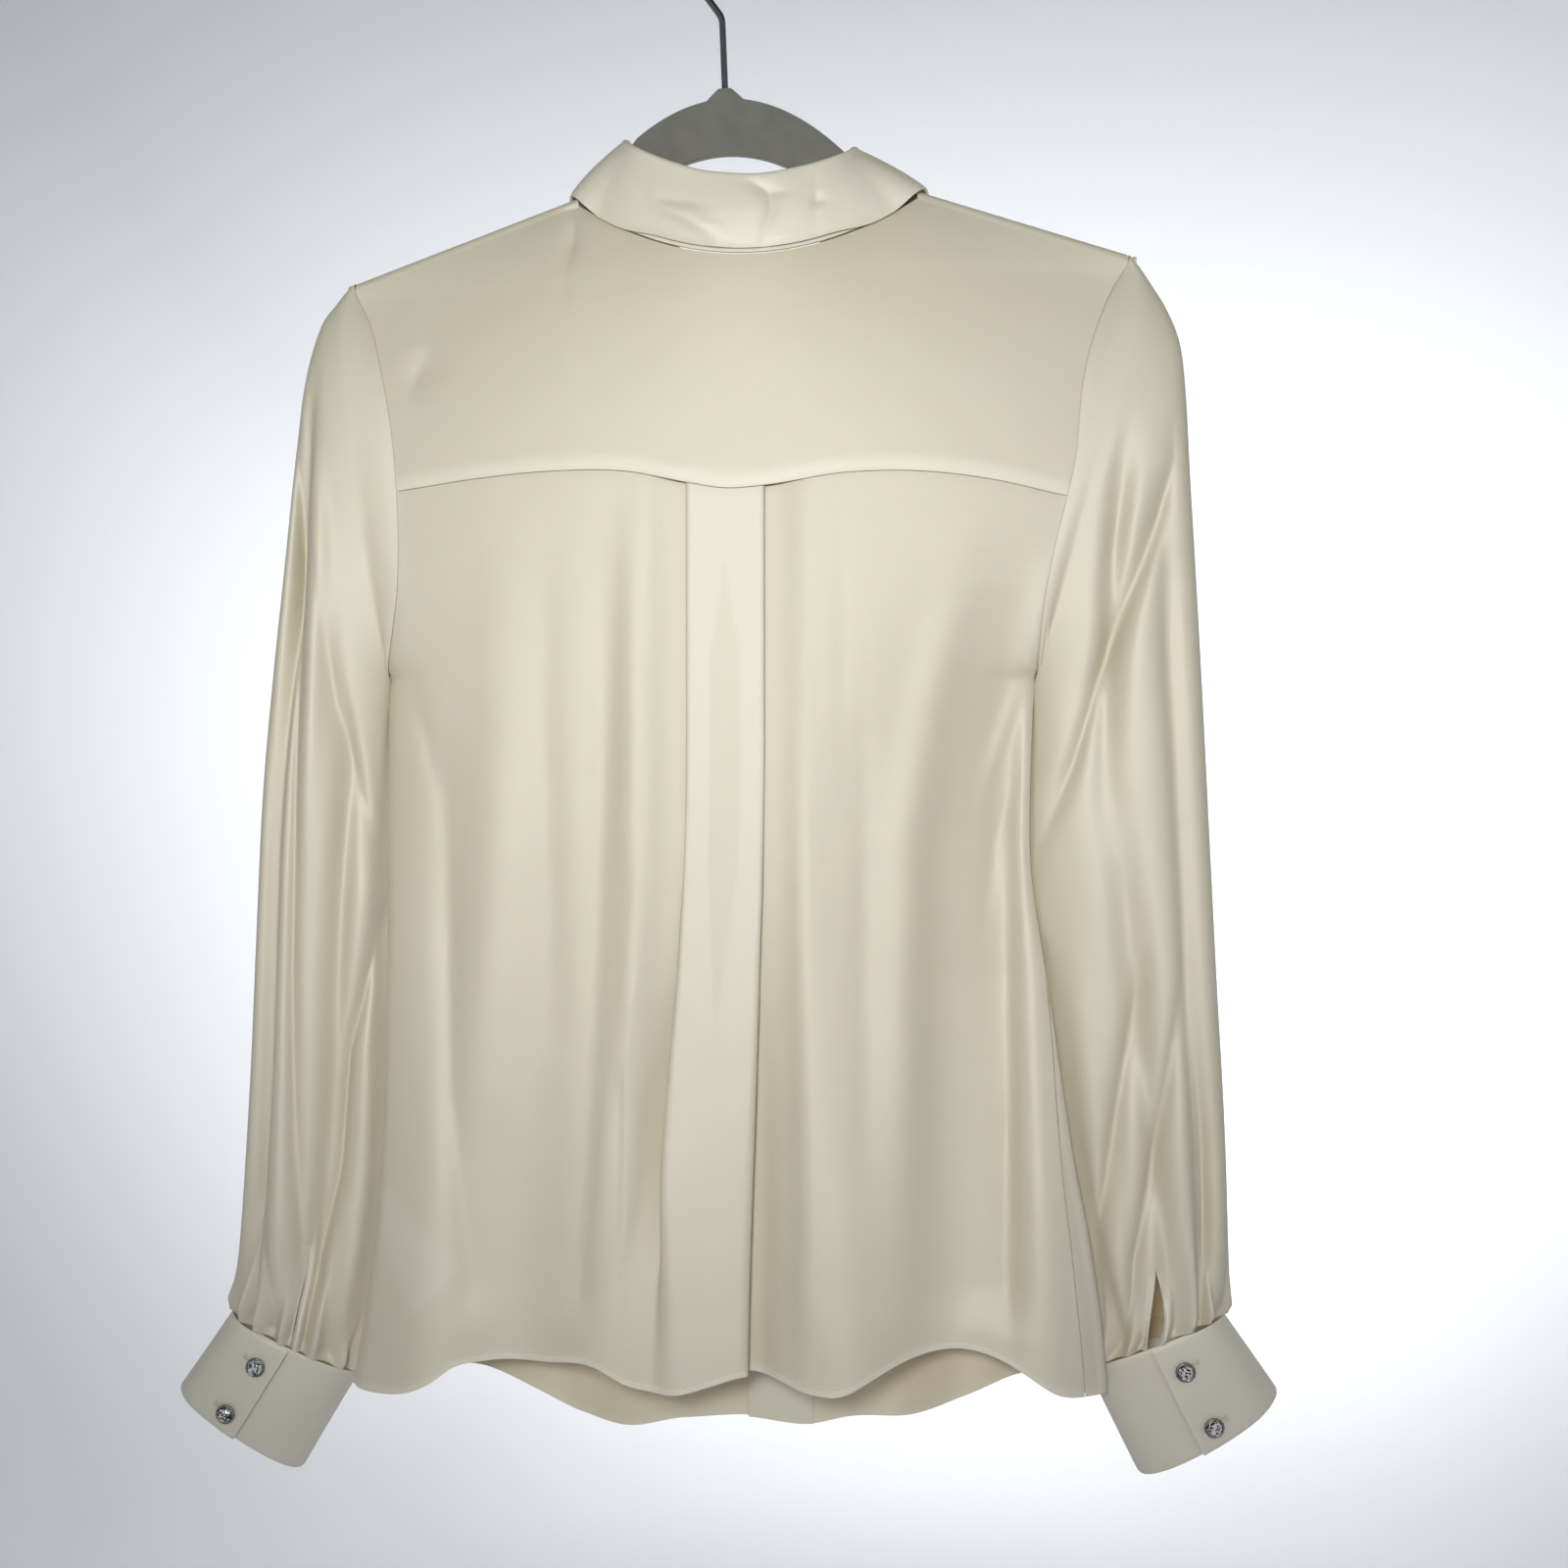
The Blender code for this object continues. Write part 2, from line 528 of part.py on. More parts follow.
def pleat_path(opened, shallow):
    """One half of the box pleat from its middle out, as (x, depth) pairs: along the face, round
    the outer fold, back under it, round the inner fold and out to the body. It goes from lying
    shut (0) through standing open (0.5) to a single soft wave (1)."""
    turn = np.linspace(0, math.pi, 5)[1:-1]
    r = LAYER / 2
    shut = np.array(
        [(0.0, 0.0), (0.5 * PLEAT_HALF, 0.0), (PLEAT_HALF - r, 0.0)]
        + [(PLEAT_HALF - r + r * math.sin(a), r - r * math.cos(a)) for a in turn]
        + [(0.60 * PLEAT_HALF, LAYER), (0.17 * PLEAT_HALF, LAYER)]
        + [(0.0027 - r * math.sin(a), LAYER + r - r * math.cos(a)) for a in turn]
        + [(0.35 * PLEAT_HALF, 2 * LAYER), (0.85 * PLEAT_HALF, 2 * LAYER)]
        + [(0.0270, 0.0026), (0.0360, 0.0008)]
    )
    stood = np.array(
        [(0.0, 0.0), (0.0105, 0.0000), (0.0190, 0.0006)]
        + [(0.0222, 0.0018), (0.0232, 0.0036), (0.0222, 0.0054)]
        + [(0.0200, 0.0066), (0.0176, 0.0076)]
        + [(0.0160, 0.0088), (0.0157, 0.0104), (0.0172, 0.0118)]
        + [(0.0220, 0.0124), (0.0300, 0.0108), (0.0380, 0.0060), (0.0470, 0.0018)]
    )
    along = np.linspace(0, 1, len(shut))
    wave = (1 - np.cos(2 * math.pi * along)) / 2
    spread = np.stack([0.0560 * along, 0.0125 * wave], axis=-1)
    path = blend(shut, stood, smooth(2 * opened)) if opened < 0.5 else \
        blend(stood, spread, smooth(2 * opened - 1))
    flat = np.array([1.0, blend(1.0, 1 - shallow, smooth((opened - 0.65) / 0.35))])
    return path * flat


def wrap_at(z):
    """How far the right side seam lies inside the back's outline."""
    return SIDE_WRAP * smooth((-0.52 - z) / 0.20)


def make_back():
    """The back under the yoke: its box pleat is sewn shut at the yoke and spreads to the hem."""
    rest = np.array([0.0, 0.20, 0.40, 0.58, 0.74, 0.86, 0.94, 0.985, 1.0])[1:]
    rows = []
    for v in np.concatenate([np.linspace(0, 0.22, 5), np.linspace(0.30, 1, 10)]):
        z_guess = blend(-0.294, -0.741, v)
        centre = blend(PLEAT_CENTRE, -0.0090, smooth((-0.42 - z_guess) / 0.32))
        halves = []
        for side in (-1, 1):
            if side < 0:
                path = pleat_path(0.85 * smooth((-0.44 - z_guess) / 0.33), 0.55)
            else:
                path = pleat_path(0.50 * smooth((-0.40 - z_guess) / 0.34), 0.0)
            wrap = float(wrap_at(z_guess)) if side > 0 else 0.0
            end = edge_x(side, z_guess) - wrap - SEAM * min(wrap / 0.001, 1.0)
            x = np.concatenate([
                centre + side * path[:, 0],
                blend(centre + side * path[-1, 0], end, rest),
            ])
            halves.append((x, np.concatenate([path[:, 1], np.zeros(len(rest))])))
        x = np.concatenate([halves[0][0][:0:-1], halves[1][0]])
        sunk = np.concatenate([halves[0][1][:0:-1], halves[1][1]])
        z = blend(read(YOKE_SEAM, "z", "x", x) - SEAM / 2, read(BACK_HEM, "z", "x", x), v)
        x[0] = edge_x(-1, z[0])
        if wrap_at(z_guess) == 0:
            x[-1] = edge_x(1, z[-1])
        rows.append(panel_point(x, z, -1, -sunk))
    return cloth("back", np.stack(rows), CLOTH)


def closure_x(z):
    """The middle of the front closure, which wanders to the right towards the hem."""
    return NECK_CENTRE + FRONT_SHIFT_HEM * smooth((-0.25 - z) / 0.50)


def front_push(x, z, side):
    """The fronts part by one layer near the closure: the left one lies outside."""
    near = smooth(1 - (np.abs(x - closure_x(z)) - OVERLAP_HALF) / 0.050)
    return -side * LAYER * 0.65 * near


def front_top(side):
    """The top edge of a front from the armhole along the yoke's seam and down the neck edge."""
    low = FRONT_SEAM_DROP + SEAM
    corner = neck_on_line(side, low)
    shoulder = np.linspace(edge_on_line(side, low), corner, 6)
    start = math.acos(min(abs(corner - NECK_CENTRE) / NECK_HALF, 1.0))
    stop = math.acos((OVERLAP_HALF + SEAM / 2) / NECK_HALF)
    neck = NECK_CENTRE + side * NECK_HALF * np.cos(np.linspace(start, stop, 6))
    x = np.concatenate([shoulder, neck[1:]])
    z = np.concatenate([crest(shoulder) - low, neck_line(neck[1:], NECK_FRONT)])
    return x, z


def make_front(name, side, wrap):
    """A front panel from the side seam to its band, up to the yoke's front seam and the neck. The
    right one wraps a little way round to the back towards the hem."""
    x_top, z_top = front_top(side)
    share = (x_top - x_top[0]) / (x_top[-1] - x_top[0])
    share = np.insert(share, 1, (0.02, 0.08))
    x_top, z_top = np.interp(share, (x_top - x_top[0]) / (x_top[-1] - x_top[0]), x_top), \
        np.interp(share, (x_top - x_top[0]) / (x_top[-1] - x_top[0]), z_top)
    even = np.linspace(0, 1, len(share)) ** 1.4
    rows = []
    for v in np.concatenate([np.linspace(0, 0.32, 8), np.linspace(0.40, 1, 8)]):
        z_side = blend(z_top[0], -0.7475, v)
        inner = closure_x(blend(z_top[-1], -0.774, v)) + side * (OVERLAP_HALF + SEAM / 2)
        columns = blend(share, even, 0.7 * smooth(2 * v))
        x = blend(edge_x(side, z_side), inner, columns)
        x = x_top if v == 0 else x
        x_hem = blend(edge_x(side, -0.7475), closure_x(-0.774) + side * OVERLAP_HALF, columns)
        z = blend(z_top, read(FRONT_HEM, "z", "x", x_hem), v)
        z_hem = float(read(FRONT_HEM, "z", "x", x_hem[0]))
        row = panel_point(x, z, 1, front_push(x, z, side))
        if wrap:
            amount = wrap * float(smooth((-0.52 - z[0]) / 0.20))
            turned = []
            for t in (1.0, 0.5):
                back_x = x[0] - amount * t
                back_z = z[0] + (read(BACK_HEM, "z", "x", back_x) - z_hem) * v**4
                behind = panel_point(back_x, back_z, -1)
                turned.append(blend(row[0], behind, min(amount / 0.0015, 1.0)))
            row = np.concatenate([np.array(turned), row])
        rows.append(row)
    return cloth(name, np.stack(rows), CLOTH)


def make_band(name, side):
    """A faced front band down one side of the closure, from the neck to the hem."""
    rows = []
    for v in np.linspace(0, 1, 13):
        z_mid = blend(-0.2335, -0.774, v)
        x = closure_x(z_mid) + OVERLAP_HALF * band_shares()
        z = blend(neck_line(x, NECK_FRONT), read(FRONT_HEM, "z", "x", x), v)
        rows.append(panel_point(x, z, 1, front_push(x, z, side)))
    return cloth(name, np.stack(rows), BAND)


def band_shares():
    return np.array([-0.985, -0.5, 0.0, 0.5, 0.985])


# ---------------------------------------------------------------- collar
def neck_path(side):
    """The neck edge on one side, from the middle of the back over the ridge to the middle of the
    front, through the corners of the yoke, the front and the band."""
    x_back = NECK_CENTRE + side * NECK_HALF * neck_shares()[7:]
    back = panel_point(x_back, neck_line(x_back, NECK_BACK), -1)
    x_side = x_back[-1]
    over = [
        (x_side, -RIDGE_RADIUS * math.cos(a), crest(x_side) + RIDGE_RADIUS * math.sin(a))
        for a in np.radians((40, 90, 140))
    ]
    x_yoke = np.array([neck_on_line(side, drop * FRONT_SEAM_DROP) for drop in (0.0, 0.5)])
    yoke = panel_point(x_yoke, crest(x_yoke) - np.array([0.0, 0.5]) * FRONT_SEAM_DROP, 1)
    x_front, z_front = front_top(side)
    front = panel_point(x_front[5:], z_front[5:], 1, front_push(x_front[5:], z_front[5:], side))
    x_band = NECK_CENTRE + side * OVERLAP_HALF * np.array([0.5, 0.0])
    z_band = neck_line(x_band, NECK_FRONT)
    band = panel_point(x_band, z_band, 1, front_push(x_band, z_band, side))
    return np.concatenate([back, over, yoke, front, band])


def path_turns(path):
    """How far round each point of the neck path lies, by its length."""
    steps = np.linalg.norm(np.diff(path, axis=0), axis=1)
    return np.concatenate([[0], np.cumsum(steps)]) / steps.sum()


def roll_line(side, turn):
    """The collar's roll line at turns from the back's middle (0) to the front's (1)."""
    w = read(COLLAR, "roll_w", "turn", turn) * side
    return np.stack([
        NECK_CENTRE - 0.0076 * (1 - turn) + w,
        read(COLLAR, "roll_y", "turn", turn),
        read(COLLAR, "roll_z", "turn", turn) + ROLL_TILT * w * 2 * (1 - turn),
    ], axis=-1)


def leaf_edge(side, turn):
    """The leaf's lower edge: behind the neck it keeps just above the neck seam and just off it."""
    x = NECK_CENTRE + read(COLLAR, "edge_w", "turn", turn) * side
    seam = neck_line(x, NECK_BACK)
    behind = smooth((0.46 - turn) / 0.08)
    return np.stack([
        x,
        blend(read(COLLAR, "edge_y", "turn", turn), -panel_depth(x, seam, -1) - LEAF_OFF, behind),
        blend(read(COLLAR, "edge_z", "turn", turn), seam + LEAF_SHOW, behind),
    ], axis=-1)


def outward(points):
    """Level directions away from the neck's middle."""
    away = points - np.array([NECK_CENTRE, 0.0, 0.0])
    away[..., 2] = 0
    return away / np.linalg.norm(away, axis=-1, keepdims=True)


def stand_side(side):
    """One side of the stand as rows from its lower to its upper edge."""
    path = neck_path(side)
    turn = path_turns(path)
    top = blend(path, roll_line(side, turn), 0.84)
    away = outward(path)
    reach = np.linalg.norm(top - path, axis=1)[:, None]
    over_board = np.exp(-((path[:, 1] / 0.0085) ** 2))[:, None]
    low = path + (top - path) * (0.0008 + 0.0020 * over_board) / reach
    push = away * (-side * 0.0013 * smooth((turn - 0.70) / 0.14))[:, None]
    bulge = over_board * np.array([0.0, 0.0, 0.0025])
    rows = np.stack([low + push + bulge * 0.5, blend(low, top, 0.5) + push + bulge, top + push])
    lap = rows[:, -1:] + np.array([-side * STAND_LAP, 0.0, 0.0])
    return np.concatenate([rows, blend(rows[:, -1:], lap, 0.5), lap], axis=1)


def make_stand():
    """The collar stand: a band from the neck edge up to just under the roll, lapped in front."""
    left, right = stand_side(-1), stand_side(1)
    return cloth("collar_stand", np.concatenate([left[:, :0:-1], right], axis=1), BAND)


def make_leaf():
    """The collar leaf: it starts inside the stand's top, rolls over it and falls to its edge."""
    halves = []
    for side in (-1, 1):
        turn = np.linspace(0, 1, 15)
        roll, edge = roll_line(side, turn), leaf_edge(side, turn)
        along = np.gradient(roll, axis=0)
        along /= np.linalg.norm(along, axis=1, keepdims=True)
        out = outward(roll)
        out -= along * (out * along).sum(axis=1, keepdims=True)
        out /= np.linalg.norm(out, axis=1, keepdims=True)
        up = np.cross(out, along) * side
        strips = []
        for angle in np.radians((-50, 10, 60, 110, 160)):
            strips.append(roll + ROLL_RADIUS * (1 - math.cos(angle)) * out
                          + ROLL_RADIUS * math.sin(angle) * up)
        start = strips[-1]
        for share in (0.33, 0.67, 1.0):
            crown = out * 0.0020 * math.sin(math.pi * share)
            strips.append(blend(start, edge, share) + crown)
        halves.append(np.stack(strips))
    grid = np.concatenate([halves[0][:, :0:-1], halves[1]], axis=1)
    return cloth("collar_leaf", grid, BAND)


# ---------------------------------------------------------------- sleeves and cuffs
def section(ring, turn, grown=0.0):
    """A point of a section: an oval between its outer and inner ends, fuller than an ellipse."""
    angle = 2 * math.pi * turn
    sine = np.sin(angle)
    side = np.sign(sine) * np.abs(sine) ** 0.85
    span = math.dist(
        (ring.outer_x, ring.outer_y, ring.outer_z), (ring.inner_x, ring.inner_y, ring.inner_z)
    )
    along = 0.5 - np.cos(angle) / 2 * (1 + 2 * grown / span)
    return np.stack([
        blend(ring.outer_x, ring.inner_x, along),
        blend(ring.outer_y, ring.inner_y, along) - (ring.half + grown) * side,
        blend(ring.outer_z, ring.inner_z, along) + ring.near_up * side,
    ], axis=-1)


def armhole_ring(side, turn):
    """The sleeve's first section: the armhole, moved out by the seam gap."""
    angle = 2 * math.pi * turn
    top = float(ridge(tip_x(side)))
    under = (UNDERARM_LEFT, UNDERARM_RIGHT)[side > 0] - 0.0020
    z = blend(top, under, (1 - np.cos(angle)) / 2)
    x = np.where(z > crest(tip_x(side)), tip_x(side), edge_x(side, z))
    back = np.sin(angle) > 0
    depth = np.where(back, panel_depth(x, z, -1), panel_depth(x, z, 1))
    over = z > crest(tip_x(side))
    rise = np.clip((z - crest(tip_x(side))) / RIDGE_RADIUS, 0, 1)
    depth = np.where(over, RIDGE_RADIUS * np.sqrt(1 - rise**2), depth)
    depth = np.where(np.abs(np.sin(angle)) < 1e-6, 0.0, depth)
    near_end = smooth((under + 0.030 - z) / 0.030) + smooth((z - top + 0.030) / 0.020)
    gap = 1.6 * SEAM + 0.0007 * near_end
    return np.stack([x + side * gap, np.where(back, -depth, depth), z], axis=-1)


def slit_turns(count, gap):
    """Turns round a section that start and end at the slit, leaving a gap there."""
    return SLIT_TURN + gap / 2 + np.linspace(0, 1, count + 1) * (1 - gap)


def make_sleeve(name, side, rings, folds, slit_gap):
    """A sleeve: a tube from the armhole to the cuff with its long folds, gathers and slit."""
    rows = []
    for k, station in enumerate(np.linspace(0, 1, len(rings) + 1)):
        slit = max(0.0, (station - (1 - SLIT_REACH)) / SLIT_REACH)
        gap = slit_gap * math.sin(math.pi * min(slit * 0.85, 1.0)) if slit > 0 else 0.0
        turn = slit_turns(COLUMNS, gap)
        if k == 0:
            rows.append(armhole_ring(side, turn))
            continue
        out = np.zeros_like(turn)
        for fold in folds:
            strength = smooth((station - fold.start) / 0.18) * smooth((fold.stop - station) / 0.16)
            middle = blend(fold.turn_top, fold.turn_end, station)
            away = (turn - middle + 0.5) % 1.0 - 0.5
            out += fold.out * strength * np.exp(-((away / fold.width) ** 2))
        fade = smooth(1 - (1 - station) / GATHER_REACH)
        wave = np.cos(2 * math.pi * np.arange(COLUMNS + 1) / GATHER_STEP)
        out += GATHER_DEPTH * fade * wave * (0.35 if k == len(rings) else 1.0)
        rows.append(section(rings[k - 1], turn, out))
    return cloth(name, np.stack(rows), CLOTH)


def cuff_point(rings, turn, down, grown):
    """A point of a cuff at a turn and a share of its height."""
    return blend(section(rings[0], turn, grown), section(rings[1], turn, grown), down)


def cuff_lift(progress):
    """The last stretch of the cuff's band rises to lie on its first stretch."""
    return CUFF_LIFT * smooth((progress - 0.80) / 0.10)


def make_cuff(name, rings):
    """A cuff: a faced band round the wrist whose upper end laps over the lower one."""
    progress = np.linspace(0, 1, 41)
    turn = SLIT_TURN - CUFF_LAP + progress * (1 + CUFF_LAP)
    rows = [cuff_point(rings, turn, down, cuff_lift(progress)) for down in (0.0, 0.33, 0.67, 1.0)]
    return cloth(name, np.stack(rows), BAND)


def button_on(name, place, normal, gap):
    """A shank button: a turned dome that lies just off the cloth, its axis along the normal."""
    r, h = BUTTON_RADIUS, BUTTON_HEIGHT
    profile = (
        (0, h), (0.45 * r, 0.95 * h), (0.80 * r, 0.72 * h), (r, 0.30 * h), (0.82 * r, 0), (0, 0)
    )
    mesh = bpy.data.meshes.new(name)
    edges = [(i, i + 1) for i in range(len(profile) - 1)]
    mesh.from_pydata([(x, 0.0, z) for x, z in profile], edges, [])
    obj = finish(name, mesh, STEEL, 0.15, 1.0)
    screw = obj.modifiers.new("turn", "SCREW")
    screw.steps = screw.render_steps = 12
    screw.use_merge_vertices = True
    screw.merge_threshold = 0.00005
    normal = Vector(normal).normalized()
    turned = normal.to_track_quat("Z", "Y").to_matrix().to_4x4()
    obj.matrix_world = Matrix.Translation(Vector(place) + normal * gap) @ turned
    return obj


def surface_normal(point, u, v, step, facing):
    """The normal of point(u, v), on the side where its y has the sign of facing."""
    here = point(u, v)
    normal = np.cross(point(u + step, v) - here, point(u, v + step) - here)
    return normal * facing * np.sign(normal[1])


def make_cuff_buttons(label, rings):
    for k, down in enumerate(CUFF_BUTTON_HEIGHTS):
        turn = SLIT_TURN - BUTTON_FROM_EDGE

        def point(a, b):
            return cuff_point(rings, np.array(a), b, CUFF_LIFT)

        normal = surface_normal(point, turn, down, 0.01, -1)
        button_on(f"button_{label}_{k + 1}", point(turn, down), normal, BAND / 2 + 0.0003)


def outer_front(x, z):
    x, z = np.array(x), np.array(z)
    return panel_point(x, z, 1, front_push(x, z, -1))


def make_front_buttons():
    stand = stand_side(-1)[1]
    place = stand[-3] + np.array([0.002, 0.0, 0.0])
    button_on("button_front_1", place, (0.0, 1.0, 0.10), BAND / 2 + 0.0011)
    for k, z in enumerate(np.linspace(-0.275, -0.690, 6)):
        x = float(closure_x(z))
        normal = surface_normal(outer_front, x, float(z), 0.003, 1)
        button_on(f"button_front_{k + 2}", outer_front(x, z), normal, BAND / 2 + 0.0004)


# ---------------------------------------------------------------- label, hanger and hook
def make_label():
    """A blank tape care label: it hangs from the side seam, close inside the back."""
    across, down = np.meshgrid(np.linspace(0, 1, 4), np.linspace(0, 1, 5))
    corner = [[LABEL_ROOT[0], LABEL_END[0]], [LABEL_ROOT[1], LABEL_END[1]]]
    top, low = corner
    x = blend(blend(top[0].x, top[1].x, across), blend(low[0].x, low[1].x, across), down)
    z = blend(blend(top[0].z, top[1].z, across), blend(low[0].z, low[1].z, across), down)
    inside = blend(CLOTH + SEAM * 1.6, 0.0034, smooth(2 * across))
    return cloth("care_label", panel_point(x, z, -1, -inside), CLOTH, LABEL_WHITE)


def spline(curve_data, points, closed):
    line = curve_data.splines.new("POLY")
    line.points.add(len(points) - 1)
    line.points.foreach_set("co", [c for p in points for c in (*p, 1.0)])
    line.use_cyclic_u = closed
    return line


def make_hanger():
    """The board: a flat moulding with crown, arms, tips and bar round one window."""
    u = np.concatenate([
        np.linspace(-0.186, -0.0195, 17),
        np.linspace(-0.0155, 0.0035, 11),
        np.linspace(0.0075, 0.186, 18),
    ])
    top = list(zip(u, board_top(u) + boss_top(u)))
    tip = [(0.1945, -0.0938), (0.2030, -0.1035), (0.2095, -0.1145), (0.2140, -0.1270),
           (0.2150, -0.1390), (0.2120, -0.1500), (0.2030, -0.1610), (0.1930, -0.1665),
           (0.1820, -0.1672), (0.1100, -0.1610), (0.0, BAR_BOTTOM)]
    outline = top + tip + [(-x, w) for x, w in reversed(tip[:-1])]
    inner = np.linspace(-0.166, 0.166, 27)
    under = list(zip(inner, board_top(inner) - BOARD_DEPTH - 0.002 * np.exp(-((inner / 0.05) ** 2))))
    corner = [(0.1780, -0.1110), (0.1840, -0.1180), (0.1860, -0.1280), (0.1830, -0.1400),
              (0.1760, -0.1500), (0.1650, -0.1545), (0.1100, -0.1510), (0.0, BAR_TOP)]
    window = under + corner + [(-x, w) for x, w in reversed(corner[:-1])]
    data = bpy.data.curves.new("hanger", "CURVE")
    data.dimensions = "2D"
    data.fill_mode = "BOTH"
    data.extrude = HANGER_THICK / 2 - 0.0009
    data.bevel_depth = 0.0009
    data.bevel_resolution = 0
    for line in (outline, window):
        spline(data, [(a, b, 0.0) for a, b in line], True)
    flat = bpy.data.objects.new("hanger_flat", data)
    BLOUSE.objects.link(flat)
    flat.rotation_euler = (math.radians(90), -HANGER_TILT, 0)
    flat.location = (HANGER_SHIFT, 0, HANGER_TOP)
    bpy.context.view_layer.update()
    graph = bpy.context.evaluated_depsgraph_get()
    mesh = bpy.data.meshes.new_from_object(flat.evaluated_get(graph))
    mesh.name = "hanger"
    mesh.transform(flat.matrix_world)
    shape = bmesh.new()
    shape.from_mesh(mesh)
    bmesh.ops.remove_doubles(shape, verts=shape.verts, dist=0.00005)
    bmesh.ops.recalc_face_normals(shape, faces=shape.faces)
    shape.to_mesh(mesh)
    shape.free()
    bpy.data.objects.remove(flat)
    return finish("hanger", mesh, FLOCK_GREY, 0.95)


def boss_top(u):
    """The small boss that the hook stands in, added to the board's upper edge."""
    return BOSS_HEIGHT * np.exp(-(((u + HANGER_SHIFT) / 0.0066) ** 4))


def make_hook():
    """The wire hook: out of the board's boss, one bend to the left and round over the rail."""
    centre = -(HOOK_RADIUS - WIRE_RADIUS)
    boss_u = np.array(-HANGER_SHIFT)
    foot_x, foot_z = hang(float(boss_u), float(board_top(boss_u) + boss_top(boss_u)) + 0.0013)
    bend = (-0.0015, -0.0527)
    gap = math.hypot(bend[0], centre - bend[1])
    leave = math.atan2(bend[1] - centre, bend[0]) - math.acos(HOOK_RADIUS / gap)
    arc = np.linspace(leave, leave - math.radians(262), 26)
    points = [(foot_x, foot_z), (blend(foot_x, bend[0], 0.5), blend(foot_z, bend[1], 0.5))]
    tangent = (HOOK_RADIUS * math.cos(leave), centre + HOOK_RADIUS * math.sin(leave))
    before = (blend(bend[0], foot_x, 0.10), blend(bend[1], foot_z, 0.10))
    after = (blend(bend[0], tangent[0], 0.11), blend(bend[1], tangent[1], 0.11))
    for t in np.linspace(0, 1, 5):
        points.append(tuple(
            (1 - t) ** 2 * before[k] + 2 * t * (1 - t) * bend[k] + t * t * after[k] for k in (0, 1)
        ))
    points += [(HOOK_RADIUS * math.cos(a), centre + HOOK_RADIUS * math.sin(a)) for a in arc]
    data = bpy.data.curves.new("hook", "CURVE")
    data.dimensions = "3D"
    data.bevel_depth = WIRE_RADIUS
    data.bevel_resolution = 2
    data.use_fill_caps = True
    spline(data, [(x, 0.0, z) for x, z in points], False)
    material = bpy.data.materials.new("hook")
    material.use_nodes = True
    shader = material.node_tree.nodes["Principled BSDF"]
    shader.inputs["Base Color"].default_value = (*STEEL, 1.0)
    shader.inputs["Metallic"].default_value = 1.0
    shader.inputs["Roughness"].default_value = 0.18
    data.materials.append(material)
    obj = bpy.data.objects.new("hook", data)
    BLOUSE.objects.link(obj)
    return obj


# ---------------------------------------------------------------- the model
for old in list(bpy.data.objects):
    bpy.data.objects.remove(old)
BLOUSE = bpy.data.collections.new("silk_blouse")
bpy.context.scene.collection.children.link(BLOUSE)

make_hanger()
make_hook()
make_yoke()
make_back()
make_front("front_left", -1, 0.0)
make_front("front_right", 1, SIDE_WRAP)
make_band("band_left", -1)
make_band("band_right", 1)
make_stand()
make_leaf()
make_sleeve("sleeve_left", -1, LEFT_RINGS, LEFT_SLEEVE_FOLDS, 0.010)
make_sleeve("sleeve_right", 1, RIGHT_RINGS, RIGHT_SLEEVE_FOLDS, 0.060)
make_cuff("cuff_left", LEFT_CUFF)
make_cuff("cuff_right", RIGHT_CUFF)
make_cuff_buttons("left", LEFT_CUFF)
make_cuff_buttons("right", RIGHT_CUFF)
make_front_buttons()
make_label()
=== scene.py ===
"""The looks of a silk blouse on a flocked hanger: metres, +Z up, the origin at the inside top of
the hook. The blouse's back faces -Y; left and right are the viewer's, seen from behind."""
import math
from collections import namedtuple

import bmesh
import bpy
import numpy as np
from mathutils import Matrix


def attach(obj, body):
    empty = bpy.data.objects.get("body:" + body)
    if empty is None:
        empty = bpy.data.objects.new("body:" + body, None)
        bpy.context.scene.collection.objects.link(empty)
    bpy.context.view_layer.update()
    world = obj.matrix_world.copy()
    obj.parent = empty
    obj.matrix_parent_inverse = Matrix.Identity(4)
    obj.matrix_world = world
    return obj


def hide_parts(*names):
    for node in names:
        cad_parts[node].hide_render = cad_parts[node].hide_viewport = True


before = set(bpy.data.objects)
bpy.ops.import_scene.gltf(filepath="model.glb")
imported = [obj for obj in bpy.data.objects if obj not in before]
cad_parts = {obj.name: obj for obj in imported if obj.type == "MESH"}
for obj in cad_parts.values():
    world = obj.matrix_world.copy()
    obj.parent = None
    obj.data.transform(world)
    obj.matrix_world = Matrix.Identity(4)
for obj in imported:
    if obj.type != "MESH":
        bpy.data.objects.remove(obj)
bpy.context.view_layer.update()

# ---------------------------------------------------------------- camera
# The viewer stands 0.9 m behind the blouse at the height of its hips, with a normal lens, turned a
# few degrees to the left.
camera_data = bpy.data.cameras.new("camera")
camera_data.sensor_width = 36.0
camera_data.lens = 40.5
camera = bpy.data.objects.new("camera", camera_data)
camera.location = (0.08506, -0.89832, -0.44425)
camera.rotation_euler = (math.radians(90), 0, math.radians(3.5))
bpy.context.scene.collection.objects.link(camera)
bpy.context.scene.camera = camera


# ---------------------------------------------------------------- studio
# A plain pale floor that curves up into a round wall, so that each side of the blouse has the
# same backdrop. The key light is by the viewer, with a weak fill from the right, a soft light on
# the blouse's front and a lamp that brightens the backdrop at the right.
def linear(text):
    """sRGB hex text to linear red, green, blue, alpha."""
    parts = [int(text[k:k + 2], 16) / 255 for k in (1, 3, 5)]
    bright = [c / 12.92 if c <= 0.04045 else ((c + 0.055) / 1.055) ** 2.4 for c in parts]
    return (*bright, 1.0)


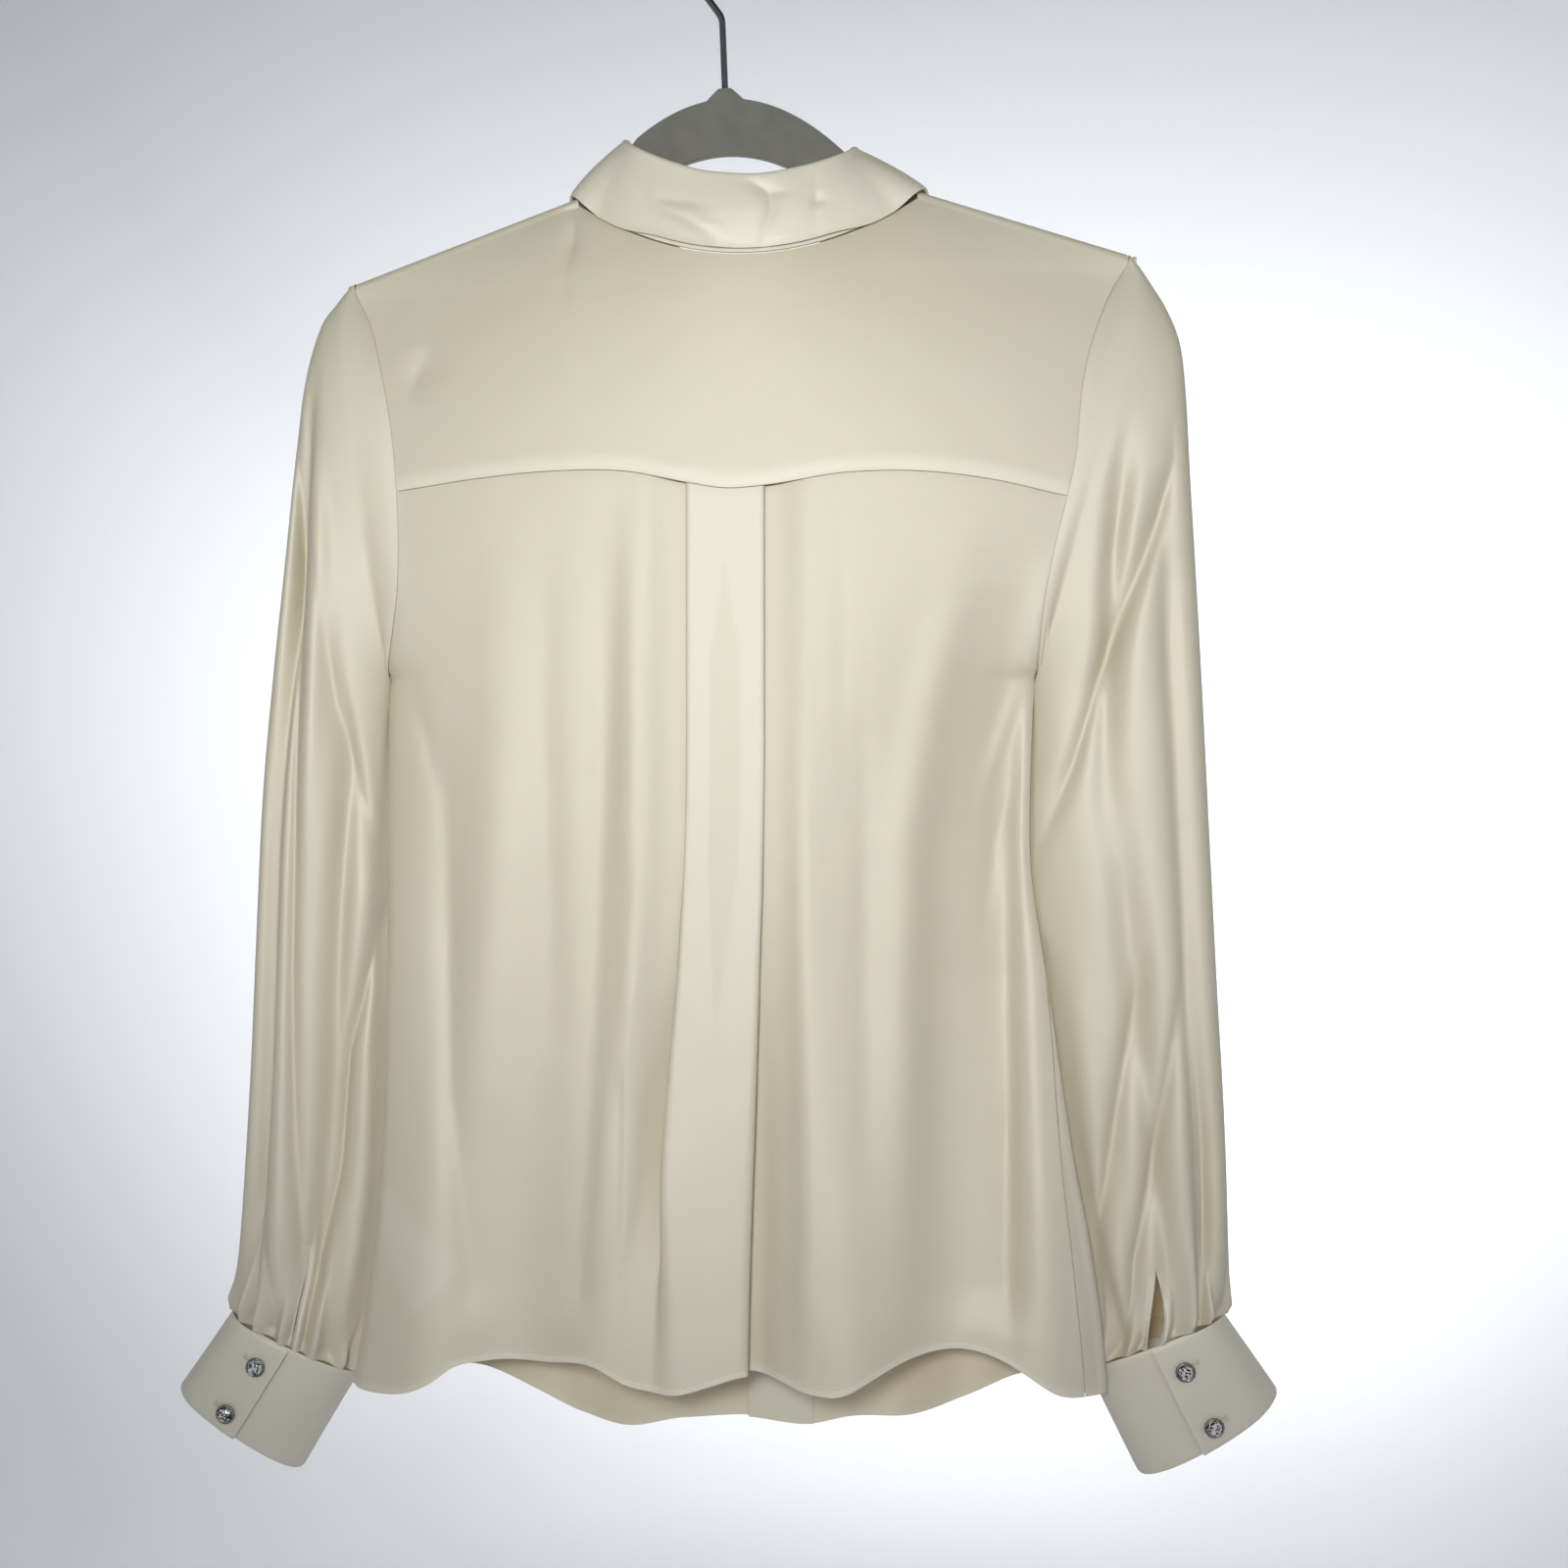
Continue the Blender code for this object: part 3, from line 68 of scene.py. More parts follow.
def node(material, kind, settings=(), **links):
    """Adds a shader node with its settings. Links are named by input: a socket, or a value."""
    made = material.node_tree.nodes.new(f"ShaderNode{kind}")
    for name, value in dict(settings).items():
        setattr(made, name, value)
    for name, value in links.items():
        socket = made.inputs[int(name[1:]) if name[0] == "_" else name.replace("_", " ")]
        if isinstance(value, bpy.types.NodeSocket):
            material.node_tree.links.new(value, socket)
        else:
            socket.default_value = value
    return made


def new_material(name):
    """A node material with no nodes yet."""
    material = bpy.data.materials.new(name)
    material.use_nodes = True
    material.node_tree.nodes.clear()
    return material


def grid_mesh(name, grid, closed=False, keep=None, fields=None):
    """A mesh on a grid of rows and columns of points. closed joins the last column to the first,
    keep says which cells are there, and fields are named values at the points."""
    rows, columns = grid.shape[:2]
    index = np.arange(rows * columns).reshape(rows, columns)
    right = np.roll(index, -1, axis=1) if closed else index[:, 1:]
    left = index if closed else index[:, :-1]
    cells = np.stack([left[:-1], right[:-1], right[1:], left[1:]], axis=-1)
    if keep is not None:
        cells = cells[keep]
    cells = cells.reshape(-1, 4)
    used, cells = np.unique(cells, return_inverse=True)
    mesh = bpy.data.meshes.new(name)
    mesh.from_pydata(grid.reshape(-1, 3)[used].tolist(), [], cells.reshape(-1, 4).tolist())
    for field, values in (fields or {}).items():
        layer = mesh.attributes.new(field, "FLOAT", "POINT")
        values = np.broadcast_to(values, (rows, columns)).reshape(-1)[used]
        layer.data.foreach_set("value", values.astype(np.float32))
    mesh.shade_smooth()
    return mesh


def unit(vectors):
    return vectors / np.linalg.norm(vectors, axis=-1, keepdims=True)


def link(name, mesh, material):
    piece = bpy.data.objects.new(name, mesh)
    bpy.context.scene.collection.objects.link(piece)
    piece.data.materials.append(material)
    return piece


def belongs(piece, stands_for=None):
    """Hides the solid that the piece stands for, and lets it ride on the one body."""
    if stands_for:
        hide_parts(stands_for)
    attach(piece, "root")
    return piece


# Seamless paper: matt and almost white.
paper = new_material("pale seamless paper")
shade = node(paper, "BsdfPrincipled", Base_Color=linear("#EDEEF0"), Roughness=0.9)
node(paper, "OutputMaterial", Surface=shade.outputs[0])

# Profile of the bowl: flat, then a quarter circle up, then straight up.
FLOOR_Z = -1.30
FLOOR_REACH = 1.2
SWEEP = 0.9
WALL_HEIGHT = 2.6
bend = np.linspace(0, math.pi / 2, 24)[1:]
reach = np.concatenate([
    [0.001, FLOOR_REACH / 2, FLOOR_REACH], FLOOR_REACH + SWEEP * np.sin(bend),
    [FLOOR_REACH + SWEEP],
])
height = FLOOR_Z + np.concatenate([[0, 0, 0], SWEEP * (1 - np.cos(bend)), [WALL_HEIGHT]])
round_turn = np.linspace(0, 2 * math.pi, 97)[:-1]
bowl = np.stack([
    reach[:, None] * np.cos(round_turn), reach[:, None] * np.sin(round_turn),
    np.broadcast_to(height[:, None], (len(reach), 96)),
], axis=-1)
floor = link("floor", grid_mesh("floor", bowl, closed=True), paper)
bpy.context.scene.view_settings.view_transform = "Standard"

world = bpy.data.worlds.new("soft daylight")
world.use_nodes = True
world.node_tree.nodes["Background"].inputs[0].default_value = linear("#F2F5FA")
world.node_tree.nodes["Background"].inputs[1].default_value = 0.13
bpy.context.scene.world = world
Light = namedtuple("Light", "name kind x y z aim_x aim_y aim_z size cone power colour")
for lamp in (
    Light("key", "SPOT", -0.02, -1.12, -0.26, 0.02, 0.0, -0.38, 0.10, 62, 37.5, "#FDFCF1"),
    Light("fill", "SPOT", 0.95, -0.95, -0.05, 0.00, 0.0, -0.44, 0.30, 60, 5.0, "#F6F8FF"),
    Light("front_side", "AREA", 0.2, 1.7, 0.35, 0.0, 0.0, -0.45, 1.4, 0, 12.0, "#FFFFFF"),
    Light("backdrop", "SPOT", 0.1, 0.7, -0.45, 0.22, 2.1, -0.14, 0.30, 160, 105.0, "#FAFCFF"),
):
    data = bpy.data.lights.new(lamp.name, lamp.kind)
    if lamp.kind == "AREA":
        data.shape = "DISK"
        data.size = lamp.size
    else:
        data.shadow_soft_size = lamp.size
        data.spot_size = math.radians(lamp.cone)
        data.spot_blend = 1.0
    data.energy = lamp.power
    data.color = linear(lamp.colour)[:3]
    holder = bpy.data.objects.new(lamp.name, data)
    holder.location = (lamp.x, lamp.y, lamp.z)
    aim = np.array([lamp.aim_x, lamp.aim_y, lamp.aim_z]) - np.array(holder.location)
    flat = math.hypot(aim[0], aim[1])
    holder.rotation_euler = (math.atan2(flat, -aim[2]), 0, math.atan2(aim[1], aim[0]) - math.pi / 2)
    holder.visible_camera = False
    bpy.context.scene.collection.objects.link(holder)

# ---------------------------------------------------------------- hanger board
# A thin moulded board with two arms, rounded tips and a bar round one window, coated all over in
# short grey flock. The blouse hangs on its arms.
TILT = math.radians(1.03)
TOP = -0.0937
SHIFT = 0.0060
BOSS_RISE = 0.0056
HALF_THICK = 0.0023
EDGE_ROUND = 0.0009


def board_top(u):
    """Height of the upper edge: a parabola for the crown, run smoothly into two straight arms."""
    crown = 0.0186 * u - 8.53 * (u + SHIFT) ** 2 - 0.0016
    crown = crown - 130 * np.maximum(np.abs(u - 0.0025) - 0.0530, 0) ** 2
    arm = -0.0230 - 0.344 * np.abs(u)
    return (crown + arm + np.sqrt((crown - arm) ** 2 + 0.003**2)) / 2


def hang(u, w):
    """From the board's own frame to the part's: turned by the tilt, then moved to its place."""
    c, s = math.cos(TILT), math.sin(TILT)
    return SHIFT + u * c - w * s, TOP + u * s + w * c


u_top = np.linspace(-0.186, 0.186, 125)
boss = BOSS_RISE * np.exp(-(((u_top + SHIFT) / 0.0066) ** 4))
tip = [(0.1945, -0.0938), (0.2030, -0.1035), (0.2095, -0.1145), (0.2140, -0.1270),
       (0.2150, -0.1390), (0.2120, -0.1500), (0.2030, -0.1610), (0.1930, -0.1665),
       (0.1820, -0.1672), (0.1500, -0.1650), (0.1100, -0.1610), (0.0500, -0.1590), (0.0, -0.1585)]
outline = list(zip(u_top, board_top(u_top) + boss)) + tip + [(-a, b) for a, b in tip[-2::-1]]
u_low = np.linspace(-0.166, 0.166, 81)
under = board_top(u_low) - 0.0250 - 0.002 * np.exp(-((u_low / 0.05) ** 2))
corner = [(0.1780, -0.1110), (0.1840, -0.1180), (0.1860, -0.1280), (0.1830, -0.1400),
          (0.1760, -0.1500), (0.1650, -0.1545), (0.1400, -0.1530), (0.1100, -0.1510),
          (0.0500, -0.1490), (0.0, -0.1485)]
window = list(zip(u_low, under)) + corner + [(-a, b) for a, b in corner[-2::-1]]

board_curve = bpy.data.curves.new("hanger_outline", "CURVE")
board_curve.dimensions = "2D"
board_curve.fill_mode = "BOTH"
board_curve.extrude = HALF_THICK - EDGE_ROUND
board_curve.bevel_depth = EDGE_ROUND
board_curve.bevel_resolution = 3
for line in (outline, window):
    line = np.asarray(line)
    spline = board_curve.splines.new("POLY")
    spline.points.add(len(line) - 1)
    flat_points = np.column_stack([line, np.zeros(len(line)), np.ones(len(line))])
    spline.points.foreach_set("co", flat_points.ravel())
    spline.use_cyclic_u = True
board_maker = bpy.data.objects.new("hanger_outline", board_curve)
bpy.context.scene.collection.objects.link(board_maker)
board_maker.rotation_euler = (math.radians(90), -TILT, 0)
board_maker.location = (SHIFT, 0, TOP)
bpy.context.view_layer.update()
board_mesh = bpy.data.meshes.new_from_object(
    board_maker.evaluated_get(bpy.context.evaluated_depsgraph_get())
)
board_mesh.transform(board_maker.matrix_world)
bpy.data.objects.remove(board_maker)
cleaner = bmesh.new()
cleaner.from_mesh(board_mesh)
bmesh.ops.remove_doubles(cleaner, verts=cleaner.verts, dist=0.00003)
bmesh.ops.recalc_face_normals(cleaner, faces=cleaner.faces)
cleaner.to_mesh(board_mesh)
cleaner.free()
board_mesh.materials.clear()

# Flock: nylon fibres 0.5 mm long on glue, dull head on and pale at a glancing angle.
flock = new_material("grey nylon flock")
place = node(flock, "TexCoord").outputs["Object"]
mottle = node(flock, "TexNoise", Vector=place, Scale=90.0, Detail=4.0)
tone = node(flock, "Mix", {"data_type": "RGBA"}, _0=mottle.outputs[0],
            _6=linear("#646560"), _7=linear("#7A7A74"))
fibre = node(flock, "TexNoise", Vector=place, Scale=1400.0, Detail=2.0)
pile = node(flock, "Bump", Height=fibre.outputs[0], Strength=0.6, Distance=0.0004)
shade = node(flock, "BsdfPrincipled", Base_Color=tone.outputs[2], Roughness=1.0,
             Specular_IOR_Level=0.1, Sheen_Weight=0.6, Sheen_Roughness=0.5,
             Normal=pile.outputs[0])
node(flock, "OutputMaterial", Surface=shade.outputs[0])
belongs(link("hanger_board", board_mesh, flock), "hanger")

# ---------------------------------------------------------------- hook
# Chromed steel wire 3.5 mm thick, turned in the board's boss, bent once to the left and round
# over the rail, with a rounded end.
def tube(path, radii, sides):
    """A tube along a path in the hook's plane: rings of the given radii square to the path."""
    along = unit(np.gradient(path, axis=0))
    across = np.stack([along[:, 2], 0 * along[:, 0], -along[:, 0]], axis=-1)
    deep = np.array([0.0, 1.0, 0.0])
    turn = np.linspace(0, 2 * math.pi, sides, endpoint=False)[:, None]
    ring = np.cos(turn)[None] * across[:, None] + np.sin(turn)[None] * deep
    return path[:, None] + radii[:, None, None] * ring


WIRE = 0.00175
BEND = 0.0210
centre = WIRE - BEND
foot = hang(-SHIFT, float(board_top(np.array(-SHIFT))) + BOSS_RISE + 0.0013)
knee = (-0.0015, -0.0527)
spread = math.hypot(knee[0], centre - knee[1])
leave = math.atan2(knee[1] - centre, knee[0]) - math.acos(BEND / spread)
touch = (BEND * math.cos(leave), centre + BEND * math.sin(leave))
shank = np.linspace(foot, (0.9 * knee[0] + 0.1 * foot[0], 0.9 * knee[1] + 0.1 * foot[1]), 8)
t = np.linspace(0, 1, 12)[:, None]
start, stop = shank[-1], np.array([0.89 * k + 0.11 * p for k, p in zip(knee, touch)])
turned = (1 - t) ** 2 * start + 2 * t * (1 - t) * np.array(knee) + t**2 * stop
angle = np.linspace(leave, leave - math.radians(262), 90)
loop = np.stack([BEND * np.cos(angle), centre + BEND * np.sin(angle)], axis=-1)
flat_path = np.concatenate([shank[:-1], turned, loop[1:]])
path = np.stack([flat_path[:, 0], 0 * flat_path[:, 0], flat_path[:, 1]], axis=-1)
cap = np.linspace(0, math.pi / 2, 7)[1:]
path = np.vstack([path, path[-1] + WIRE * np.sin(cap[:, None]) * unit(path[-1] - path[-2])])
radii = np.concatenate([np.full(len(path) - 6, WIRE), WIRE * np.cos(cap) + 0.00002])
hook_mesh = grid_mesh("hook_wire", tube(path, radii, 20), closed=True)

# Chromed steel: a mirror finish that handling has dulled in patches. Its base colour is a grey far
# darker than chrome's, a painted reflection of a dark room.
chrome = new_material("chromed steel wire")
place = node(chrome, "TexCoord").outputs["Object"]
wear = node(chrome, "TexNoise", Vector=place, Scale=60.0, Detail=5.0)
dull = node(chrome, "MapRange", Value=wear.outputs[0], To_Min=0.10, To_Max=0.26)
# Painted reflection: the dark grey base colour stands in for the dark room mirrored in the wire.
shade = node(chrome, "BsdfPrincipled", Base_Color=linear("#77787A"), Metallic=1.0,
             Roughness=dull.outputs[0])
node(chrome, "OutputMaterial", Surface=shade.outputs[0])
belongs(link("hook_wire", hook_mesh, chrome), "hook")

# ---------------------------------------------------------------- silk yoke
# Silk crepe, cut in one piece that runs from a seam across the shoulder blades up to the neck and
# over both shoulders. Its lower seam allowance is pressed up inside, and shows through as a band.
# The body's shape is worked out here for all the pieces that are sewn to it.
Edge = namedtuple("Edge", "z x")


def in_mm(kind, *rows):
    """Rows of lengths in millimetres as named values in metres."""
    return [kind(*(value / 1000 for value in row)) for row in rows]


LEFT_EDGE = in_mm(Edge,
    (-190.3, -190.5), (-208, -182.2), (-229.8, -176), (-265.4, -168.6), (-295.2, -165.5),
    (-324.8, -164.3), (-349.2, -165.5), (-370, -169), (-389, -172.8), (-440, -174.2),
    (-545.4, -175.2), (-646.8, -177.8), (-700, -182.8), (-738.3, -188.5), (-760, -192.5),
)
RIGHT_EDGE = in_mm(Edge,
    (-183.3, 203.2), (-196.2, 195.3), (-213.2, 188), (-225.3, 184), (-243.2, 179.9),
    (-259.9, 177.9), (-277.3, 176.6), (-299.6, 172.1), (-330, 164.8), (-356.8, 160), (-390, 157.2),
    (-440, 154.8), (-483.7, 154.8), (-543.1, 163.2), (-632.1, 176.4), (-686.4, 186.2),
    (-740.7, 192.1), (-760, 193),
)
EDGES = {-1: LEFT_EDGE, 1: RIGHT_EDGE}
UNDERARM = {-1: -0.3890, 1: -0.3900}
Depth = namedtuple("Depth", "z back front shift")
BODY_DEPTH = in_mm(Depth,
    (-140, 27, 27, 0), (-290, 29, 29, 0), (-400, 28.5, 28, 0), (-550, 27, 26.5, -1.5),
    (-700, 27, 26.5, -6), (-770, 27, 27, -9),
)
Line = namedtuple("Line", "x z")
YOKE_SEAM = in_mm(Line,
    (-190, -297.5), (-162.5, -295.5), (-125.2, -291), (-85.6, -288), (-46.2, -288.9),
    (-16.9, -294.6), (2.7, -297.7), (22.1, -296.5), (60.9, -290.6), (104.3, -290.1),
    (137.8, -294.3), (171.2, -301.4), (190, -304),
)
# The radius of the fold over the board, the armhole's half depth and where it starts to close,
# the neck's middle and half width, each neck edge's drop and the two powers of its curve, and how
# far the yoke comes down in front.
RIDGE = 0.0046
ARMHOLE_HALF = 0.0190
CLOSING_Z = -0.3000
CLOSED_Z = -0.3895
NECK = 0.0115
NECK_HALF = 0.0865
NECK_BACK = (0.0322, 2.0, 1.0)
NECK_FRONT = (0.0870, 2.4, 0.5)
YOKE_FRONT = 0.0280


def curve(keys, values, at):
    """A smooth line through (keys, values): cubic pieces with slopes from each key's neighbours."""
    keys, values = np.asarray(keys, float), np.asarray(values, float)
    if keys[0] > keys[-1]:
        keys, values = keys[::-1], values[::-1]
    slopes = np.gradient(values, keys)
    at = np.clip(at, keys[0], keys[-1])
    i = np.clip(np.searchsorted(keys, at) - 1, 0, len(keys) - 2)
    span = keys[i + 1] - keys[i]
    t = (at - keys[i]) / span
    return (
        values[i] * (2 * t**3 - 3 * t**2 + 1) + slopes[i] * span * (t**3 - 2 * t**2 + t)
        + values[i + 1] * (3 * t**2 - 2 * t**3) + slopes[i + 1] * span * (t**3 - t**2)
    )


def read(table, name, key, at):
    """The named column of a table, read smoothly at values of its key column."""
    return curve([getattr(r, key) for r in table], [getattr(r, name) for r in table], at)


def bell(distance, width=1.0):
    """1 in the middle, falling as e to the minus square of the distance over the width."""
    return np.exp(-((distance / width) ** 2))


def smooth(t):
    """0 below 0, 1 above 1, and 3 t squared less 2 t cubed between."""
    t = np.clip(t, 0.0, 1.0)
    return t * t * (3 - 2 * t)


def blend(a, b, t):
    return a + (b - a) * t


ridge_u = np.linspace(-0.24, 0.24, 961)
ridge_x, ridge_z = hang(ridge_u, board_top(ridge_u))


def crest(x):
    """Height where the cloth leaves its round fold over the board's edge."""
    return np.interp(x, ridge_x, ridge_z) + 0.0026 - RIDGE


def edge_x(side, z):
    return read(EDGES[side], "x", "z", z)


def tip_x(side):
    return EDGES[side][0].x


def armhole_close(side, z):
    """1 where the armhole is open, falling as a round end to 0 at the underarm."""
    t = np.clip((CLOSING_Z - z) / (CLOSING_Z - UNDERARM[side]), 0, 1)
    return np.sqrt(1 - t**3)


def edge_half(side, z):
    """Half depth of the armhole: from the fold's radius out to 19 mm, then closing."""
    drop = np.maximum(EDGES[side][0].z - RIDGE - z, 0)
    grown = RIDGE + (ARMHOLE_HALF - RIDGE) * (1 - np.exp(-drop / 0.028))
    return np.maximum(grown * armhole_close(side, z), 0.0004)


def neck_side(x):
    ends = NECK - NECK_HALF, NECK + NECK_HALF
    return np.interp(x, ends, (crest(ends[0]), crest(ends[1])))


def neck_line(x, neck):
    """Height of the neck edge: a round drop below the line between the two shoulder points."""
    drop, inner, outer = neck
    t = np.clip(np.abs(x - NECK) / NECK_HALF, 0, 1)
    return neck_side(x) - drop * (1 - t**inner) ** outer


def panel_depth(x, z, face):
    """How far back (-1) or front (1) lies from the hanger's plane: a lens across the body that
    closes round the sides, narrowed near the shoulders to the fold over the board."""
    left, right = edge_x(-1, z), edge_x(1, z)
    s = np.clip((x - (left + right) / 2) / ((right - left) / 2), -1, 1)
    rim = np.where(s < 0, edge_half(-1, z), edge_half(1, z))
    past = (CLOSING_Z - z) / (CLOSING_Z - CLOSED_Z)
    inner = np.where(past < 0.10, rim, ARMHOLE_HALF * (1 - smooth((past - 0.10) / 1.30)))
    full = read(BODY_DEPTH, "back" if face < 0 else "front", "z", z)
    lens = (1 - np.abs(s) ** 2.6) ** (1.0 - 0.5 * smooth(past))
    base = inner + (full - inner) * lens + (rim - inner) * np.abs(s) ** 16
    fade = 0.045 - 0.026 * bell(x - NECK, 0.075)
    top = np.where(np.abs(x - NECK) < NECK_HALF, neck_side(x), crest(x))
    return blend(np.minimum(RIDGE, base), base, 1 - np.exp(-np.maximum(top - z, 0) / fade))


# A fold that hangs from its top to the hem, and a crease along a line of (x, z, strength). A
# crease's lengths are in millimetres.
Fold = namedtuple("Fold", "x_top z_top x_hem out width_top width_hem")
Crease = namedtuple("Crease", "rise width lean line")


def hanging(folds, x, z, hem):
    """Sum of the folds: each a bell across its line, deepening and widening towards the hem."""
    out = 0 * x
    for fold in folds:
        fall = smooth((fold.z_top - z) / (fold.z_top - hem))
        middle = blend(fold.x_top, fold.x_hem, fall)
        width = blend(fold.width_top, fold.width_hem, fall)
        out = out + fold.out * fall * bell(x - middle, width)
    return out


def creased(creases, x, z):
    """Sum of the creases: across its line a ridge is a bell and a valley a V with a round bottom,
    each lean times as wide on its right side. A crease fades 30 mm past its ends."""
    out, step, fade = 0 * x, 0.004, 0.030
    for crease in creases:
        line_x, line_z, strengths = (np.array(crease.line)[::-1] * (0.001, 0.001, 1)).T
        middle = np.interp(z, line_z, line_x)
        slope = (np.interp(z + step, line_z, line_x) - middle) / step
        width = np.where(x > middle, crease.width * crease.lean, crease.width) / 1000
        off = (x - middle) / np.sqrt(1 + slope**2) / width
        ends = smooth((z - line_z[0]) / fade + 1) * smooth((line_z[-1] - z) / fade + 1)
        valley = np.exp(-1.3 * (np.sqrt(off**2 + 0.04) - 0.2))
        across = valley if crease.rise < 0 else bell(off)
        out = out + crease.rise / 1000 * np.interp(z, line_z, strengths) * ends * across
    return out


BACK_FOLDS = in_mm(Fold,
    (-120, -420, -152, 7, 18, 21), (-85, -400, -100, -11, 18, 30), (-40, -480, -36, 7, 16, 22),
    (50, -460, 62, 8, 16, 22), (100, -330, 116, -11, 16, 28), (130, -370, 168, 8, 14, 20),
)
FRONT_FOLDS = in_mm(Fold,
    (-120, -420, -140, 8, 18, 24), (-75, -380, -92, -9, 18, 28), (-38, -480, -44, 6, 16, 22),
    (75, -460, 86, 7, 16, 22), (105, -360, 126, -9, 16, 26), (125, -400, 164, 6, 14, 20),
)
BACK_CREASES = (
    # Pull lines on the yoke, near the collar and by the left armhole.
    Crease(-3.6, 3.6, 1.5, ((-76.5, -158, 0.6), (-77.5, -170, 1), (-79, -186, 0.2))),
    Crease(-3, 11, 1, ((-150, -222, 0.3), (-156, -236, 1), (-160, -252, 0.2))),
    # The deep valley beside the right armhole, with its pull lines and the ridge to its left.
    Crease(-26, 38, 0.25, ((156, -345, 0.1), (151, -387, 0.5), (146, -425, 0.8), (144, -468, 1),
           (144, -541, 1), (144, -613, 0.7), (144, -690, 0.3))),
    Crease(2.6, 3.4, 1, ((156, -368, 0.2), (148, -398, 1), (139, -425, 0.9), (131, -450, 0.2))),
    Crease(-3, 4.2, 1, ((156, -412, 0.2), (148, -440, 1), (138, -473, 0.9), (132, -510, 0.2))),
    Crease(5.2, 13, 0.9, ((121.1, -340, 0.1), (106, -400, 0.7), (95, -470, 1), (92, -600, 1),
           (90, -700, 0.4))),
    Crease(-3, 7, 1.2, ((150, -560, 0.1), (144, -620, 1), (142, -690, 0.9), (144, -730, 0.3))),
    # Soft waves of the left half.
    Crease(-6.2, 10, 1.3, ((-140.1, -430, 0.2), (-139.1, -520, 1), (-137, -600, 1),
           (-127, -690, 0.5))),
    Crease(2.2, 12, 1.2, ((-113, -320, 0.1), (-114, -450, 0.9), (-116, -600, 0.5))),
    Crease(-2.2, 11, 1, ((-88, -330, 0.1), (-87, -450, 1), (-85, -560, 0.6))),
    Crease(-4.6, 12.5, 0.6, ((-56, -320, 0.1), (-58, -440, 1), (-62, -560, 1), (-69, -690, 0.8))),
    Crease(1.8, 1.4, 9, ((-46.7, -322, 0.3), (-46.4, -400, 1), (-47, -560, 1), (-48.2, -690, 0.3))),
    Crease(-2.4, 5, 1, ((-160, -395, 0.2), (-151, -420, 1), (-142, -455, 0.2))),
    # Soft waves of the right half.
    Crease(-2, 10, 1, ((70, -380, 0.1), (72, -500, 1), (72, -620, 0.5))),
    Crease(1.8, 7, 1.4, ((40, -400, 0.1), (42, -540, 1), (44, -700, 0.8))),
    Crease(-0.7, 2.2, 1.5, ((60, -320, 0.4), (60.5, -380, 1), (61, -460, 0.2))),
)
FRONT_CREASES = (
    Crease(-3, 8, 1, ((-156, -330, 0.2), (-140, -390, 1), (-124, -460, 0.2))),
    Crease(-3.2, 8, 1, ((152, -350, 0.2), (137, -400, 1), (122, -470, 0.2))),
    Crease(1.8, 12, 1, ((-90, -250, 0.2), (-102, -400, 1), (-106, -560, 0.2))),
    Crease(1.6, 12, 1, ((100, -240, 0.2), (90, -420, 1), (96, -600, 0.2))),
)


def panel_point(x, z, face, pushed=0.0):
    """A point of the back or front with its folds and creases, pushed out by a distance."""
    x, z = np.broadcast_arrays(np.asarray(x, float), np.asarray(z, float))
    folds, hem = (BACK_FOLDS, -0.745) if face < 0 else (FRONT_FOLDS, -0.760)
    left, right = edge_x(-1, z), edge_x(1, z)
    s = np.clip(np.abs((2 * x - left - right) / (right - left)), 0, 1)
    depth = panel_depth(x, z, face) + hanging(folds, x, z, hem) * (1 - s**6)
    depth = depth + creased(BACK_CREASES if face < 0 else FRONT_CREASES, x, z) * (1 - s**10)
    y = face * (depth + pushed) + read(BODY_DEPTH, "shift", "z", z)
    return np.stack([x, y, z], axis=-1)


# Silk crepe: twisted threads 0.12 mm apart give a fine matte grain, drawn 0.9 mm wide because
# the real one is too fine to show. Light comes through one layer, less through two.
silk = new_material("ivory silk crepe")
place = node(silk, "TexCoord").outputs["Object"]
layers = node(silk, "Attribute", {"attribute_name": "layers"}).outputs["Fac"]
grain = node(silk, "TexNoise", Vector=place, Scale=1100.0, Detail=2.0, Roughness=0.6)
crumple = node(silk, "TexNoise", Vector=place, Scale=26.0, Detail=3.0, Roughness=0.45)
patch = node(silk, "TexNoise", Vector=place, Scale=5.0, Detail=2.0)
single = node(silk, "Mix", {"data_type": "RGBA"}, _0=patch.outputs[0],
              _6=linear("#D8D3C0"), _7=linear("#DEDAC9"))
double = node(silk, "Mix", {"data_type": "RGBA"}, _0=layers, _6=single.outputs[2],
              _7=linear("#E0DCCD"))
broad = node(silk, "Bump", Height=crumple.outputs[0], Strength=0.35, Distance=0.0016)
fine = node(silk, "Bump", Height=grain.outputs[0], Strength=0.16, Distance=0.0003,
            Normal=broad.outputs[0])
shade = node(silk, "BsdfPrincipled", Base_Color=double.outputs[2], Roughness=0.60, IOR=1.90,
             Specular_IOR_Level=1.0, Sheen_Weight=0.08, Sheen_Roughness=0.35,
             Sheen_Tint=linear("#FFFBF0"), Normal=fine.outputs[0])
through = node(silk, "BsdfTranslucent", Color=linear("#EFD9A2"), Normal=fine.outputs[0])
lit = node(silk, "MapRange", Value=layers, To_Min=0.24, To_Max=0.16)
glow = node(silk, "MixShader", _0=lit.outputs[0], _1=shade.outputs[0],
            _2=through.outputs[0])
node(silk, "OutputMaterial", Surface=glow.outputs[0])


